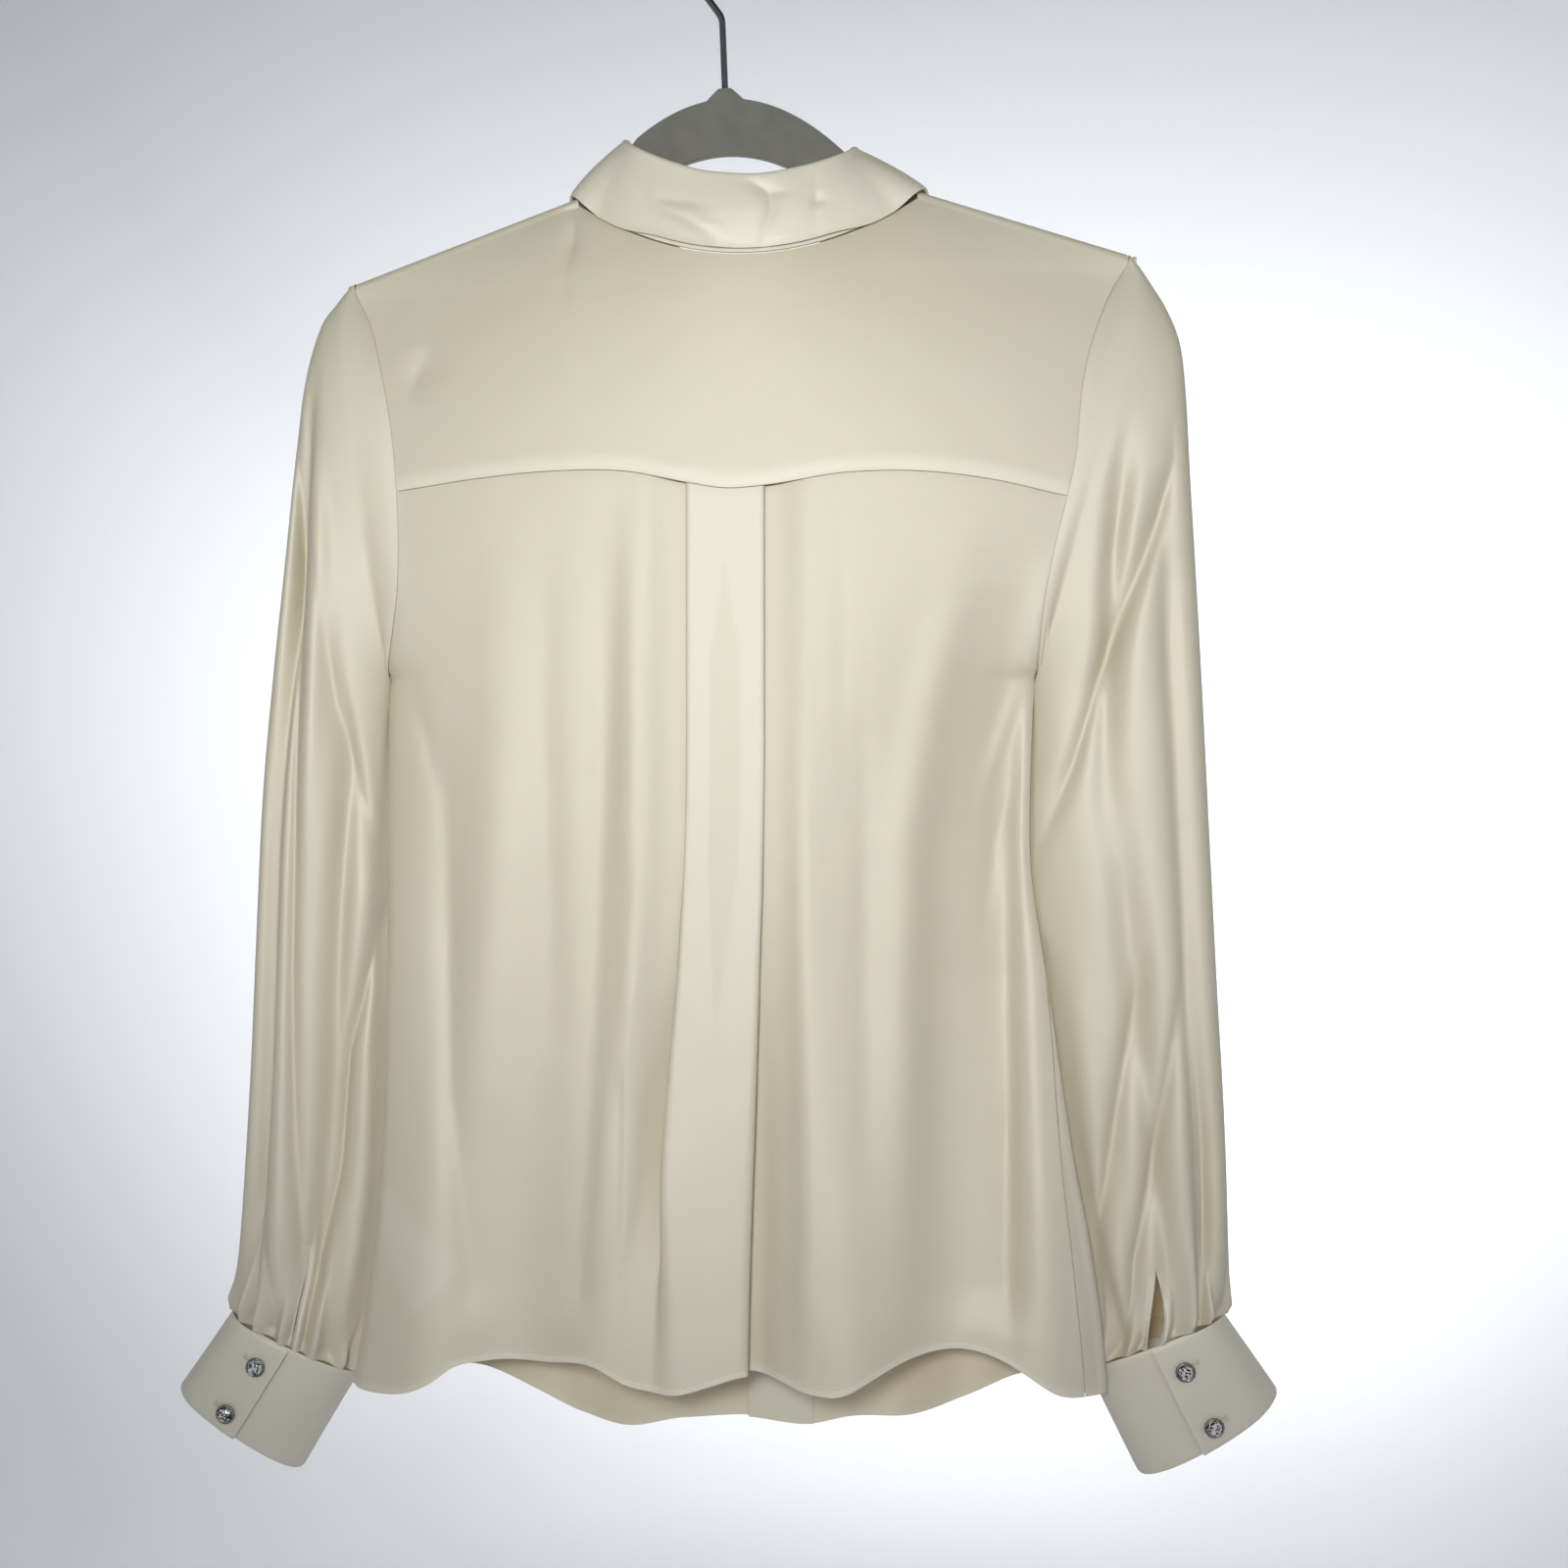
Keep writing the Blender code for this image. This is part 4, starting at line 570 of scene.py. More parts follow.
def cloth(name, grid, node_name, layers=0.0, wall=0.0004, keep=None, tube=False,
          finish=None):
    """A piece of cloth on a grid of points, its faces outwards, with a wall."""
    out = grid - grid.mean(axis=1, keepdims=True) if tube else grid * np.array([0.0, 1.0, 0.0])
    normal = np.cross(np.diff(grid, axis=1)[:-1], np.diff(grid, axis=0)[:, :-1])
    if (normal * out[:-1, :-1]).sum() < 0:
        grid = grid[::-1]
        layers = layers[::-1] if isinstance(layers, np.ndarray) else layers
        keep = None if keep is None else keep[::-1]
    mesh = grid_mesh(name, grid, keep=keep, fields={"layers": layers})
    joiner = bmesh.new()
    joiner.from_mesh(mesh)
    if tube:
        bmesh.ops.remove_doubles(joiner, verts=joiner.verts, dist=0.00002)
    for rim in joiner.edges:
        rim.smooth = not rim.is_boundary
    joiner.to_mesh(mesh)
    joiner.free()
    piece = link(name, mesh, finish or silk)
    solid = piece.modifiers.new("wall", "SOLIDIFY")
    solid.thickness = wall
    solid.offset = 0.0
    belongs(piece, node_name)


def edge_on_line(side, drop):
    """Where the armhole meets the line that lies a drop under the crest."""
    x = tip_x(side)
    for _ in range(12):
        x = float(edge_x(side, crest(x) - drop))
    return x


def neck_on_line(side, drop):
    """Where the front neck edge meets that line."""
    x = NECK + side * NECK_HALF * np.linspace(1.0, 0.3, 1400)
    gap = (crest(x) - drop) - neck_line(x, NECK_FRONT)
    return float(np.interp(0.0, gap, x)) if gap[0] < gap[-1] else float(x[0])


def yoke_seam(x):
    return read(YOKE_SEAM, "z", "x", x)


YOKE_ROWS = 91
SHOULDER = 61
OVER_ROWS = 13
ALLOWANCE_IN = 0.0010
neck_x = NECK + NECK_HALF * np.linspace(-1, 1, 2 * SHOULDER - 1)
x_top = np.concatenate([
    np.linspace(tip_x(-1), neck_x[0], SHOULDER)[:-1], neck_x,
    np.linspace(neck_x[-1], tip_x(1), SHOULDER)[1:],
])
in_neck = np.abs(x_top - NECK) < NECK_HALF - 1e-6
top = np.where(in_neck, neck_line(x_top, NECK_BACK), crest(x_top))
seam_x = [float(edge_x(side, yoke_seam(side * 0.17))) for side in (-1, 1)]
share = (x_top - x_top[0]) / (x_top[-1] - x_top[0])
x_low = blend(seam_x[0], seam_x[1], blend(share, np.linspace(0, 1, len(share)), 0.35))
v = np.linspace(0, 1, YOKE_ROWS)[:, None]
z = blend(yoke_seam(x_low) + 0.0002, top, v)
x = blend(x_low, x_top, v)
ends = edge_x(-1, z[:, :1]), edge_x(1, z[:, -1:])
x = ends[0] + (x - x[:, :1]) * (ends[1] - ends[0]) / (x[:, -1:] - x[:, :1])
back_part = panel_point(x, z, -1, -0.0004 * bell(z - z[:1], 0.0012))
near_seam = smooth(1.4 - np.abs((z - z[:1]) / 0.0068 - 0.45) * 1.6)
turn = np.radians(np.linspace(0, 180, OVER_ROWS + 2)[1:-1])[:, None]
over_part = np.stack([
    np.broadcast_to(x_top, (OVER_ROWS, len(x_top))),
    np.broadcast_to(-RIDGE * np.cos(turn), (OVER_ROWS, len(x_top))),
    crest(x_top) + RIDGE * np.sin(turn),
], axis=-1)
front_part = []
for drop in np.linspace(0, YOKE_FRONT, 15):
    x = x_top.copy()
    x[:SHOULDER] = np.linspace(edge_on_line(-1, drop), neck_on_line(-1, drop), SHOULDER)
    x[-SHOULDER:] = np.linspace(neck_on_line(1, drop), edge_on_line(1, drop), SHOULDER)
    front_part.append(panel_point(x, crest(x) - drop, 1))
front_part = np.stack(front_part)
yoke_grid = np.concatenate([back_part, over_part, front_part])
keep = np.ones((len(yoke_grid) - 1, len(x_top) - 1), bool)
keep[YOKE_ROWS - 1:, SHOULDER - 1:1 - SHOULDER] = False
yoke_layers = np.zeros(yoke_grid.shape[:2])
yoke_layers[:YOKE_ROWS] = near_seam
cloth("silk_yoke", yoke_grid, "yoke", yoke_layers, keep=keep)

# The seam allowance inside, 7 mm of the back and the yoke pressed up.
x = np.linspace(seam_x[0] + 0.002, seam_x[1] - 0.002, 200)
z = yoke_seam(x) + np.linspace(0.0004, 0.0070, 5)[:, None]
allowance = panel_point(x, z, -1, -ALLOWANCE_IN)
cloth("yoke_seam_allowance", allowance, None, 1.0)

# ---------------------------------------------------------------- back
# One panel of the silk, sewn to the yoke with a box pleat in its middle: two outer folds that
# meet nothing and two inner ones under them, pressed at the top and let go towards the hem. The
# hem is turned up twice, 4 mm wide, and stitched.
BACK_HEM = in_mm(Line,
    (-193, -750.5), (-180.6, -751.9), (-145.6, -743.8), (-134.1, -736.1), (-118, -733.6),
    (-88.3, -733.8), (-62.7, -733), (-46.5, -740.8), (-21.1, -744.5), (-4.5, -740.5),
    (11.6, -736.2), (26.6, -737.7), (41.7, -741.6), (61.1, -741.7), (75.3, -735.1), (92.3, -728),
    (141, -729.4), (152.3, -735.6), (164.8, -743.3), (193, -747.6),
)
# The pleat's half width and the step of one pressed layer, how far the right side seam lies inside
# the outline at the hem, and the mean heights of the back's top and hem.
PLEAT = 0.0195
LAYER = 0.0018
SIDE_WRAP = 0.0120
BACK_TOP_Z = -0.2940
BACK_HEM_Z = -0.7410
HEM_DEEP = 0.0052
PLEAT_POINTS = 46
LABEL = in_mm(Line,
    (-174, -647), (-129.6, -686.5), (-154.7, -711.6), (-174.5, -678),
)


def run_along(line):
    """The length run along a line up to each of its points."""
    return np.concatenate([[0], np.cumsum(np.linalg.norm(np.diff(line, axis=0), axis=1))])


def resampled(points, count):
    """A smooth open line through the points (Catmull-Rom), at places evenly spaced by length."""
    points = np.asarray(points, float)
    ends = 2 * points[0] - points[1], 2 * points[-1] - points[-2]
    p = np.vstack([ends[0], points, ends[1]])
    t = np.linspace(0, 1, 16, endpoint=False)[:, None, None]
    a, b, c, d = p[:-3], p[1:-2], p[2:-1], p[3:]
    fine = b + 0.5 * t * (c - a) + t**2 * (a - 2.5 * b + 2 * c - 0.5 * d) \
        + t**3 * (-0.5 * a + 1.5 * b - 1.5 * c + 0.5 * d)
    fine = np.vstack([fine.transpose(1, 0, 2).reshape(-1, p.shape[1]), points[-1:]])
    run = run_along(fine)
    at = np.linspace(0, run[-1], count)
    return np.stack([np.interp(at, run, fine[:, k]) for k in range(p.shape[1])], axis=-1)


def pleat_path(opened, shallow):
    """Half of the pleat from its middle out, as (x, depth): along the face, round the outer fold,
    back under it, round the inner fold and out. It is shut at 0, stands open at 0.5 and is one
    soft wave at 1, and between these the points move in straight lines."""
    turn = np.linspace(0, math.pi, 5)[1:-1]
    r = LAYER / 2
    shut = np.array(
        [(0.0, 0.0), (0.5 * PLEAT, 0.0), (PLEAT - r, 0.0)]
        + [(PLEAT - r + r * math.sin(a), r - r * math.cos(a)) for a in turn]
        + [(0.60 * PLEAT, LAYER), (0.17 * PLEAT, LAYER)]
        + [(0.0027 - r * math.sin(a), LAYER + r - r * math.cos(a)) for a in turn]
        + [(0.35 * PLEAT, 2 * LAYER), (0.85 * PLEAT, 2 * LAYER), (0.0270, 0.0026), (0.0360, 0.0008)]
    )
    stood = np.array([
        (0.0, 0.0), (0.0105, 0.0), (0.0190, 0.0006), (0.0222, 0.0018), (0.0232, 0.0036),
        (0.0222, 0.0054), (0.0200, 0.0066), (0.0176, 0.0076), (0.0160, 0.0088), (0.0157, 0.0104),
        (0.0172, 0.0118), (0.0220, 0.0124), (0.0300, 0.0108), (0.0380, 0.0060), (0.0470, 0.0018),
    ])
    along = np.linspace(0, 1, len(shut))
    spread = np.stack([0.0560 * along, 0.0125 * (1 - np.cos(2 * math.pi * along)) / 2], axis=-1)
    if opened < 0.5:
        path = blend(shut, stood, smooth(2 * opened))
    else:
        path = blend(stood, spread, smooth(2 * opened - 1))
    flat = np.array([1.0, blend(1.0, 1 - shallow, smooth((opened - 0.65) / 0.35))])
    return resampled(path * flat, PLEAT_POINTS)


def wrap_at(z):
    """How far the right side seam lies inside the back's outline."""
    return SIDE_WRAP * smooth((-0.52 - z) / 0.20)


def over_label(x, z):
    """1 where the care label lies under the back, 0 outside its corners, soft over 2 mm."""
    inside = 1.0
    for a, b in zip(LABEL, LABEL[1:] + LABEL[:1]):
        across, down = b.x - a.x, b.z - a.z
        away = (down * (x - a.x) - across * (z - a.z)) / math.hypot(across, down)
        inside = np.minimum(inside, away)
    return smooth(inside / 0.002 + 0.5)


rest = np.linspace(0, 1, 45)[1:]
rest = rest + 0.12 * np.sin(math.pi * rest) * (1 - rest)
back_rows, back_layers = [], []
for v in np.linspace(0, 1, 151):
    z_guess = blend(BACK_TOP_Z, BACK_HEM_Z, v)
    centre = blend(0.0026, -0.0090, smooth((-0.42 - z_guess) / 0.32))
    halves = []
    # The left half of the pleat starts to open lower down than the right one, and opens further.
    for side, opened, start_z, length, shallow in (
        (-1, 0.85, -0.44, 0.33, 0.55), (1, 0.50, -0.40, 0.34, 0.0)
    ):
        path = pleat_path(opened * smooth((start_z - z_guess) / length), shallow)
        wrap = float(wrap_at(z_guess)) if side > 0 else 0.0
        end = edge_x(side, z_guess) - wrap - 0.0002 * min(wrap / 0.001, 1.0)
        x = np.concatenate([
            centre + side * path[:, 0], blend(centre + side * path[-1, 0], end, rest)
        ])
        # Layers: the panel over the pleat's folds, and the seam allowance at the side.
        run = np.linspace(0, 1, PLEAT_POINTS)
        spear = 0.008 * smooth((-0.322 - z_guess) / 0.070) * (1 - smooth((-0.46 - z_guess) / 0.13))
        folded = smooth((0.30 - run) / 0.04) * (0.65 - 0.3 * smooth((v - 0.35) / 0.5))
        in_spear = smooth((spear - path[:, 0]) / 0.0012 + 0.5) * (spear > 0.0004)
        folded = folded * (1 - 0.85 * in_spear)
        halves.append((x, np.concatenate([path[:, 1], 0 * rest]),
                       np.concatenate([folded, 0.35 * smooth((rest - 0.965) / 0.008)])))
    x, sunk, doubled = (
        np.concatenate([halves[0][k][:0:-1], halves[1][k]]) for k in range(3)
    )
    z = blend(yoke_seam(x) - 0.0002, read(BACK_HEM, "z", "x", x), v)
    x[0] = edge_x(-1, z[0])
    if wrap_at(z_guess) == 0:
        x[-1] = edge_x(1, z[-1])
    seam_roll = 0.0003 * bell(z_guess - BACK_TOP_Z, 0.0016)
    back_rows.append(panel_point(x, z, -1, -sunk - seam_roll))
    back_layers.append(doubled)
back_grid = np.stack(back_rows)
back_layers = np.stack(back_layers)
hem_gap = back_grid[:, :, 2] - back_grid[-1:, :, 2]
back_layers = np.maximum(back_layers, smooth((HEM_DEEP - hem_gap) / 0.0010))
back_layers = np.maximum(back_layers, 0.6 * over_label(back_grid[:, :, 0], back_grid[:, :, 2]))
cloth("silk_back", back_grid, "back", back_layers)

# The allowance inside the right side seam, where that runs round to the back.
z = np.linspace(-0.6150, -0.7450, 60)[:, None]
x = edge_x(1, z) - wrap_at(z) + np.linspace(-0.0055, 0.0045, 7)
allowance = panel_point(x, z, -1, -ALLOWANCE_IN)
cloth("side_seam_allowance", allowance, None, 1.0)


def stitches(name, line, normal, pitch=0.0025, length=0.0019, width=0.00034, material=silk):
    """A row of stitches: every pitch along the line, a low six-sided bead of the given length
    and width, its ends drawn down into the cloth. Seams have 10 stitches to 25 mm."""
    run = run_along(line)
    count = int(run[-1] / pitch)
    middle = (np.arange(count) + 0.5) * run[-1] / count
    along_line = np.stack([
        np.stack([np.interp(middle + s * length / 2, run, line[:, k]) for k in range(3)], axis=-1)
        for s in (-1.0, -0.5, 0.0, 0.5, 1.0)
    ], axis=1)
    up = unit(np.stack([np.interp(middle, run, normal[:, k]) for k in range(3)], axis=-1))
    across = np.cross(up, unit(along_line[:, -1] - along_line[:, 0]))
    lift = np.array([-0.4, 0.3, 0.5, 0.3, -0.4]) * width
    thick = np.array([0.35, 0.9, 1.0, 0.9, 0.35]) * width / 2
    turn = np.linspace(0, 2 * math.pi, 6, endpoint=False)
    ring = across[:, None, None] * np.cos(turn)[None, None, :, None] \
        + up[:, None, None] * np.sin(turn)[None, None, :, None]
    points = along_line[:, :, None] + up[:, None, None] * lift[None, :, None, None] \
        + ring * thick[None, :, None, None]
    rings = np.arange(count * 5 * 6).reshape(count, 5, 6)
    a, b = rings[:, :-1], rings[:, 1:]
    cells = np.stack([a, np.roll(a, -1, axis=2), np.roll(b, -1, axis=2), b], axis=-1)
    mesh = bpy.data.meshes.new(name)
    ends = [list(r) for r in rings[:, 0, ::-1]] + [list(r) for r in rings[:, -1]]
    mesh.from_pydata(points.reshape(-1, 3).tolist(), [],
                     cells.reshape(-1, 4).tolist() + [[int(i) for i in r] for r in ends])
    mesh.shade_smooth()
    belongs(link(name, mesh, material))


def beside_edge(grid, distance, facing):
    """A line on a grid a distance in from its last row, and the surface's directions there, on
    the side where y has the sign of facing."""
    steps = np.linalg.norm(np.diff(grid[::-1], axis=0), axis=2)
    run = np.vstack([np.zeros(steps.shape[1]), np.cumsum(steps, axis=0)])
    up = np.gradient(grid, axis=0)[::-1]
    across = np.gradient(grid, axis=1)[::-1]
    normal = np.cross(across, up)
    normal *= facing * np.sign(normal[..., 1:2] + 1e-9)
    row = np.argmax(run >= distance, axis=0)
    columns = np.arange(grid.shape[1])
    before, after = run[row - 1, columns], run[row, columns]
    share = ((distance - before) / (after - before))[:, None]
    line = blend(grid[::-1][row - 1, columns], grid[::-1][row, columns], share)
    return line, unit(normal[row, columns])


def hem_stitches(name, grid, facing):
    """A row of stitches 3.6 mm in from the last row of a piece's grid."""
    line, normal = beside_edge(grid, 0.0036, facing)
    stitches(name, line + normal * 0.0003, normal)


hem_stitches("back_hem_stitching", back_grid, -1)

# ---------------------------------------------------------------- fronts
# Two panels of the silk, from the side seams to the bands, sewn to the yoke 28 mm in front of the
# shoulder's fold. The right one runs a little way round to the back at the hem.
FRONT_HEM = in_mm(Line,
    (-195, -750.5), (-170, -750), (-126.3, -750), (-96.2, -759.4), (-75.4, -770.7), (-54.5, -780.6),
    (-23.3, -775.8), (6.2, -773.1), (43.9, -776.2), (61.9, -772.9), (92.7, -772.2), (123.2, -756.2),
    (145.8, -747), (193, -747.6),
)
BAND_HALF = 0.0170
BAND_TUCK = 0.0005
SIDE_HEM_Z = -0.7475
CLOSURE_TOP_Z = -0.2335
CLOSURE_HEM_Z = -0.7740
FRONT_ACROSS = 60


def closure_x(z):
    """The middle of the closure, which wanders 16 mm to the right towards the hem."""
    return NECK + 0.0160 * smooth((-0.25 - z) / 0.50)


def front_push(x, z, side):
    """The fronts part by one layer near the closure: the left one lies outside."""
    return -side * LAYER * 0.65 * smooth(1 - (np.abs(x - closure_x(z)) - BAND_HALF) / 0.050)


def front_top(side):
    """The top edge of a front: along the yoke's seam, then down the neck edge."""
    low = YOKE_FRONT + 0.0005
    corner = neck_on_line(side, low)
    shoulder = np.linspace(edge_on_line(side, low), corner, FRONT_ACROSS)
    start = math.acos(min(abs(corner - NECK) / NECK_HALF, 1.0))
    stop = math.acos((BAND_HALF - BAND_TUCK) / NECK_HALF)
    neck = NECK + side * NECK_HALF * np.cos(np.linspace(start, stop, FRONT_ACROSS))
    x = np.concatenate([shoulder, neck[1:]])
    return x, np.concatenate([crest(shoulder) - low, neck_line(neck[1:], NECK_FRONT)])


for label, side, area in (("left", -1, 0.104), ("right", 1, 0.089)):
    x_top, z_top = front_top(side)
    share = (x_top - x_top[0]) / (x_top[-1] - x_top[0])
    even = np.linspace(0, 1, len(share)) ** 1.4
    rows = []
    for v in np.linspace(0, 1, 111):
        z_side = blend(z_top[0], SIDE_HEM_Z, v)
        z_inner = blend(z_top[-1], CLOSURE_HEM_Z, v)
        inner = closure_x(z_inner) + side * (BAND_HALF - BAND_TUCK)
        columns = blend(share, even, 0.7 * smooth(2 * v))
        x = blend(edge_x(side, z_side), inner, columns)
        x = x_top if v == 0 else x
        hem_inner = closure_x(CLOSURE_HEM_Z) + side * BAND_HALF
        x_hem = blend(edge_x(side, SIDE_HEM_Z), hem_inner, columns)
        z = blend(z_top, read(FRONT_HEM, "z", "x", x_hem), v)
        z_hem = float(read(FRONT_HEM, "z", "x", x_hem[0]))
        row = panel_point(x, z, 1, front_push(x, z, side))
        if side > 0:
            amount = float(wrap_at(z[0]))
            t = np.linspace(1, 0, 9)[:-1]
            back_x = x[0] - amount * t
            back_z = z[0] + (read(BACK_HEM, "z", "x", back_x) - z_hem) * v**4
            behind = panel_point(back_x, back_z, -1)
            row = np.concatenate([blend(row[0], behind, min(amount / 0.0015, 1.0)), row])
        rows.append(row)
    grid = np.stack(rows)
    low_edge = grid[:, :, 2] - grid[-1:, :, 2]
    first = 8 if side > 0 else 0
    side_run = np.abs(grid[:, :, 0] - grid[:, first:first + 1, 0])
    doubled = np.maximum(smooth((HEM_DEEP - low_edge) / 0.001), smooth((0.0060 - side_run) / 0.001))
    cloth(f"silk_front_{label}", grid, f"front_{label}", doubled)
    hem_stitches(f"silk_front_{label}_hem_stitching", grid[:, first:], 1)

# ---------------------------------------------------------------- front bands
# Two faced bands of the silk, 34 mm wide and folded to two layers with a light fusing between.
# The left one laps over the right and carries the buttonholes.
FUSED = 0.0013
for label, side in (("left", -1), ("right", 1)):
    v = np.linspace(0, 1, 121)[:, None]
    across = np.linspace(-0.985, 0.985, 25)
    x = closure_x(blend(CLOSURE_TOP_Z, CLOSURE_HEM_Z, v)) + BAND_HALF * across
    z = blend(neck_line(x, NECK_FRONT), read(FRONT_HEM, "z", "x", x), v)
    grid = panel_point(x, z, 1, front_push(x, z, side) - 0.0005 * np.abs(across) ** 12)
    cloth(f"silk_band_{label}", grid, f"band_{label}", 1.0, wall=FUSED)
    if side < 0:
        for edge, column in (("left", 1), ("right", -2)):
            normal = np.broadcast_to([0.0, 1.0, 0.0], grid[:, column].shape)
            line = grid[:, column] + normal * (FUSED / 2 + 0.00007)
            stitches(f"silk_band_left_stitching_{edge}", line, normal)

# ---------------------------------------------------------------- collar
# A shirt collar of the silk over a soft fusing: a stand sewn round the neck edge, and a leaf sewn
# in its top that rolls over and falls to two points in front.
Collar = namedtuple("Collar", "turn roll_w roll_y roll_z edge_w edge_y edge_z")
COLLAR = in_mm(Collar,
    (-120, -15, -20, -141, -26, -33.5, -176), (0, 0, -20.5, -142, 0, -34.5, -178.5),
    (120, 15, -20, -141, 26, -33.5, -176), (220, 29, -18.5, -137, 46, -30.5, -169),
    (380, 50.5, -12, -127.2, 74, -19.5, -155.5), (450, 55.8, -5, -122.2, 87.8, -8.6, -145.7),
    (500, 56.6, 0, -119.7, 91.5, 0, -142.6), (550, 56.2, 5.2, -122.6, 93.5, 8.5, -147.5),
    (630, 53, 14, -133, 94.5, 21.5, -166), (760, 39, 23, -160, 82, 34.5, -212),
    (900, 18, 29, -193, 64, 39, -250), (1000, 4, 31, -210, 48, 39.5, -270),
)
ROLL_RADIUS = 0.0019


def neck_path(side):
    """The neck edge from the middle of the back over the shoulder to the middle of the front."""
    even = np.linspace(0, 1, 61)
    x_back = NECK + side * NECK_HALF * (0.7 * even + 0.3 * np.sin(even * math.pi / 2))
    back = panel_point(x_back, neck_line(x_back, NECK_BACK), -1)
    turn = np.radians(np.linspace(0, 180, 9)[1:-1])
    x_side = x_back[-1]
    over = np.stack([
        0 * turn + x_side, -RIDGE * np.cos(turn), crest(x_side) + RIDGE * np.sin(turn)
    ], axis=-1)
    drops = np.linspace(0, YOKE_FRONT, 9)[:-1]
    x_yoke = np.array([neck_on_line(side, drop) for drop in drops])
    yoke = panel_point(x_yoke, crest(x_yoke) - drops, 1)
    x_front, z_front = front_top(side)
    x_front, z_front = x_front[FRONT_ACROSS - 1:], z_front[FRONT_ACROSS - 1:]
    front = panel_point(x_front, z_front, 1, front_push(x_front, z_front, side))
    x_band = NECK + side * BAND_HALF * np.linspace(0.8, 0.0, 5)
    z_band = neck_line(x_band, NECK_FRONT)
    band = panel_point(x_band, z_band, 1, front_push(x_band, z_band, side))
    return resampled(np.concatenate([back, over, yoke, front, band])[::3], 110)


def roll_line(side, turn):
    """The roll at turns from the back's middle (0) to the front's (1), its left side higher."""
    w = read(COLLAR, "roll_w", "turn", turn) * side
    return np.stack([
        NECK - 0.0076 * (1 - turn) + w, read(COLLAR, "roll_y", "turn", turn),
        read(COLLAR, "roll_z", "turn", turn) - 0.104 * w * (1 - turn),
    ], axis=-1)


def leaf_edge(side, turn):
    """The leaf's edge: behind the neck it keeps 2.6 mm above the neck seam and 2.7 mm off it, and
    comes down over the seam towards the shoulders."""
    x = NECK + read(COLLAR, "edge_w", "turn", turn) * side
    seam = neck_line(x, NECK_BACK)
    behind = smooth((0.46 - turn) / 0.08)
    lift = 0.0026 - 0.0034 * smooth((turn - 0.20) / 0.14)
    return np.stack([
        x, blend(read(COLLAR, "edge_y", "turn", turn), -panel_depth(x, seam, -1) - 0.0027, behind),
        blend(read(COLLAR, "edge_z", "turn", turn), seam + lift, behind),
    ], axis=-1)


def outward(points):
    """Level directions away from the neck's middle."""
    away = points - np.array([NECK, 0.0, 0.0])
    away[..., 2] = 0
    return unit(away)


def stand_side(side):
    """One side of the stand in rows from the neck edge up to just under the roll."""
    path = neck_path(side)
    turn = run_along(path)
    turn /= turn[-1]
    top = blend(path, roll_line(side, turn), 0.84)
    reach = np.linalg.norm(top - path, axis=1)[:, None]
    over_board = bell(path[:, 1], 0.0085)[:, None]
    low = path + (top - path) * (0.0008 + 0.0020 * over_board) / reach
    push = outward(path) * (-side * 0.0013 * smooth((turn - 0.70) / 0.14))[:, None]
    bulge = over_board * np.array([0.0, 0.0, 0.0025])
    share = np.linspace(0, 1, 13)[:, None, None]
    lift = np.interp(share, (0, 0.5, 1), (0.5, 1.0, 0.0))
    rows = blend(low, top, share) + push + bulge * lift
    lap = rows[:, -1:] + np.array([-side * 0.0120, 0.0, 0.0]) * np.linspace(0.1, 1, 10)[:, None]
    return np.concatenate([rows, lap], axis=1)


stand_left, stand_right = stand_side(-1), stand_side(1)
stand_grid = np.concatenate([stand_left[:, :0:-1], stand_right], axis=1)
cloth("silk_collar_stand", stand_grid, "collar_stand", 1.0, wall=FUSED)
LEAF_CREASES = (
    Crease(-2.6, 3, 1.4, ((9, -140, 0.2), (17.3, -145.2, 1), (24.1, -150.5, 1),
           (25.1, -159.2, 0.8), (21.7, -171.8, 0.3))),
    Crease(-2, 3.4, 1, ((47.5, -149, 0.3), (47.8, -154, 1), (47, -159, 0.2))),
    Crease(2, 3.4, 1.6, ((-33, -153, 0.2), (-20, -160, 1), (-11.4, -166, 1), (-2, -173.5, 0.3))),
)
leaf_halves = []
for side in (-1, 1):
    turn = np.linspace(0, 1, 116)
    roll, edge = roll_line(side, turn), leaf_edge(side, turn)
    along, out = unit(np.gradient(roll, axis=0)), outward(roll)
    out = unit(out - along * (out * along).sum(axis=1, keepdims=True))
    up = np.cross(out, along) * side
    over = np.radians(np.linspace(-50, 160, 16))[:, None, None]
    strips = roll + ROLL_RADIUS * (1 - np.cos(over)) * out + ROLL_RADIUS * np.sin(over) * up
    fall = np.linspace(0, 1, 27)[1:, None, None]
    crown = out * 0.0020 * np.sin(math.pi * fall) - out * 0.0006 * smooth((fall - 0.93) / 0.07)
    leaf_halves.append(np.concatenate([strips, blend(strips[-1], edge, fall) + crown]))
leaf_grid = np.concatenate([leaf_halves[0][:, :0:-1], leaf_halves[1]], axis=1)
near = (leaf_grid[..., 1] < -0.012) * smooth((np.arange(len(leaf_grid)) - 14) / 8)[:, None]
leaf_grid[..., 1] -= creased(LEAF_CREASES, leaf_grid[..., 0], leaf_grid[..., 2]) * near
cloth("silk_collar_leaf", leaf_grid, "collar_leaf", 1.0, wall=FUSED)

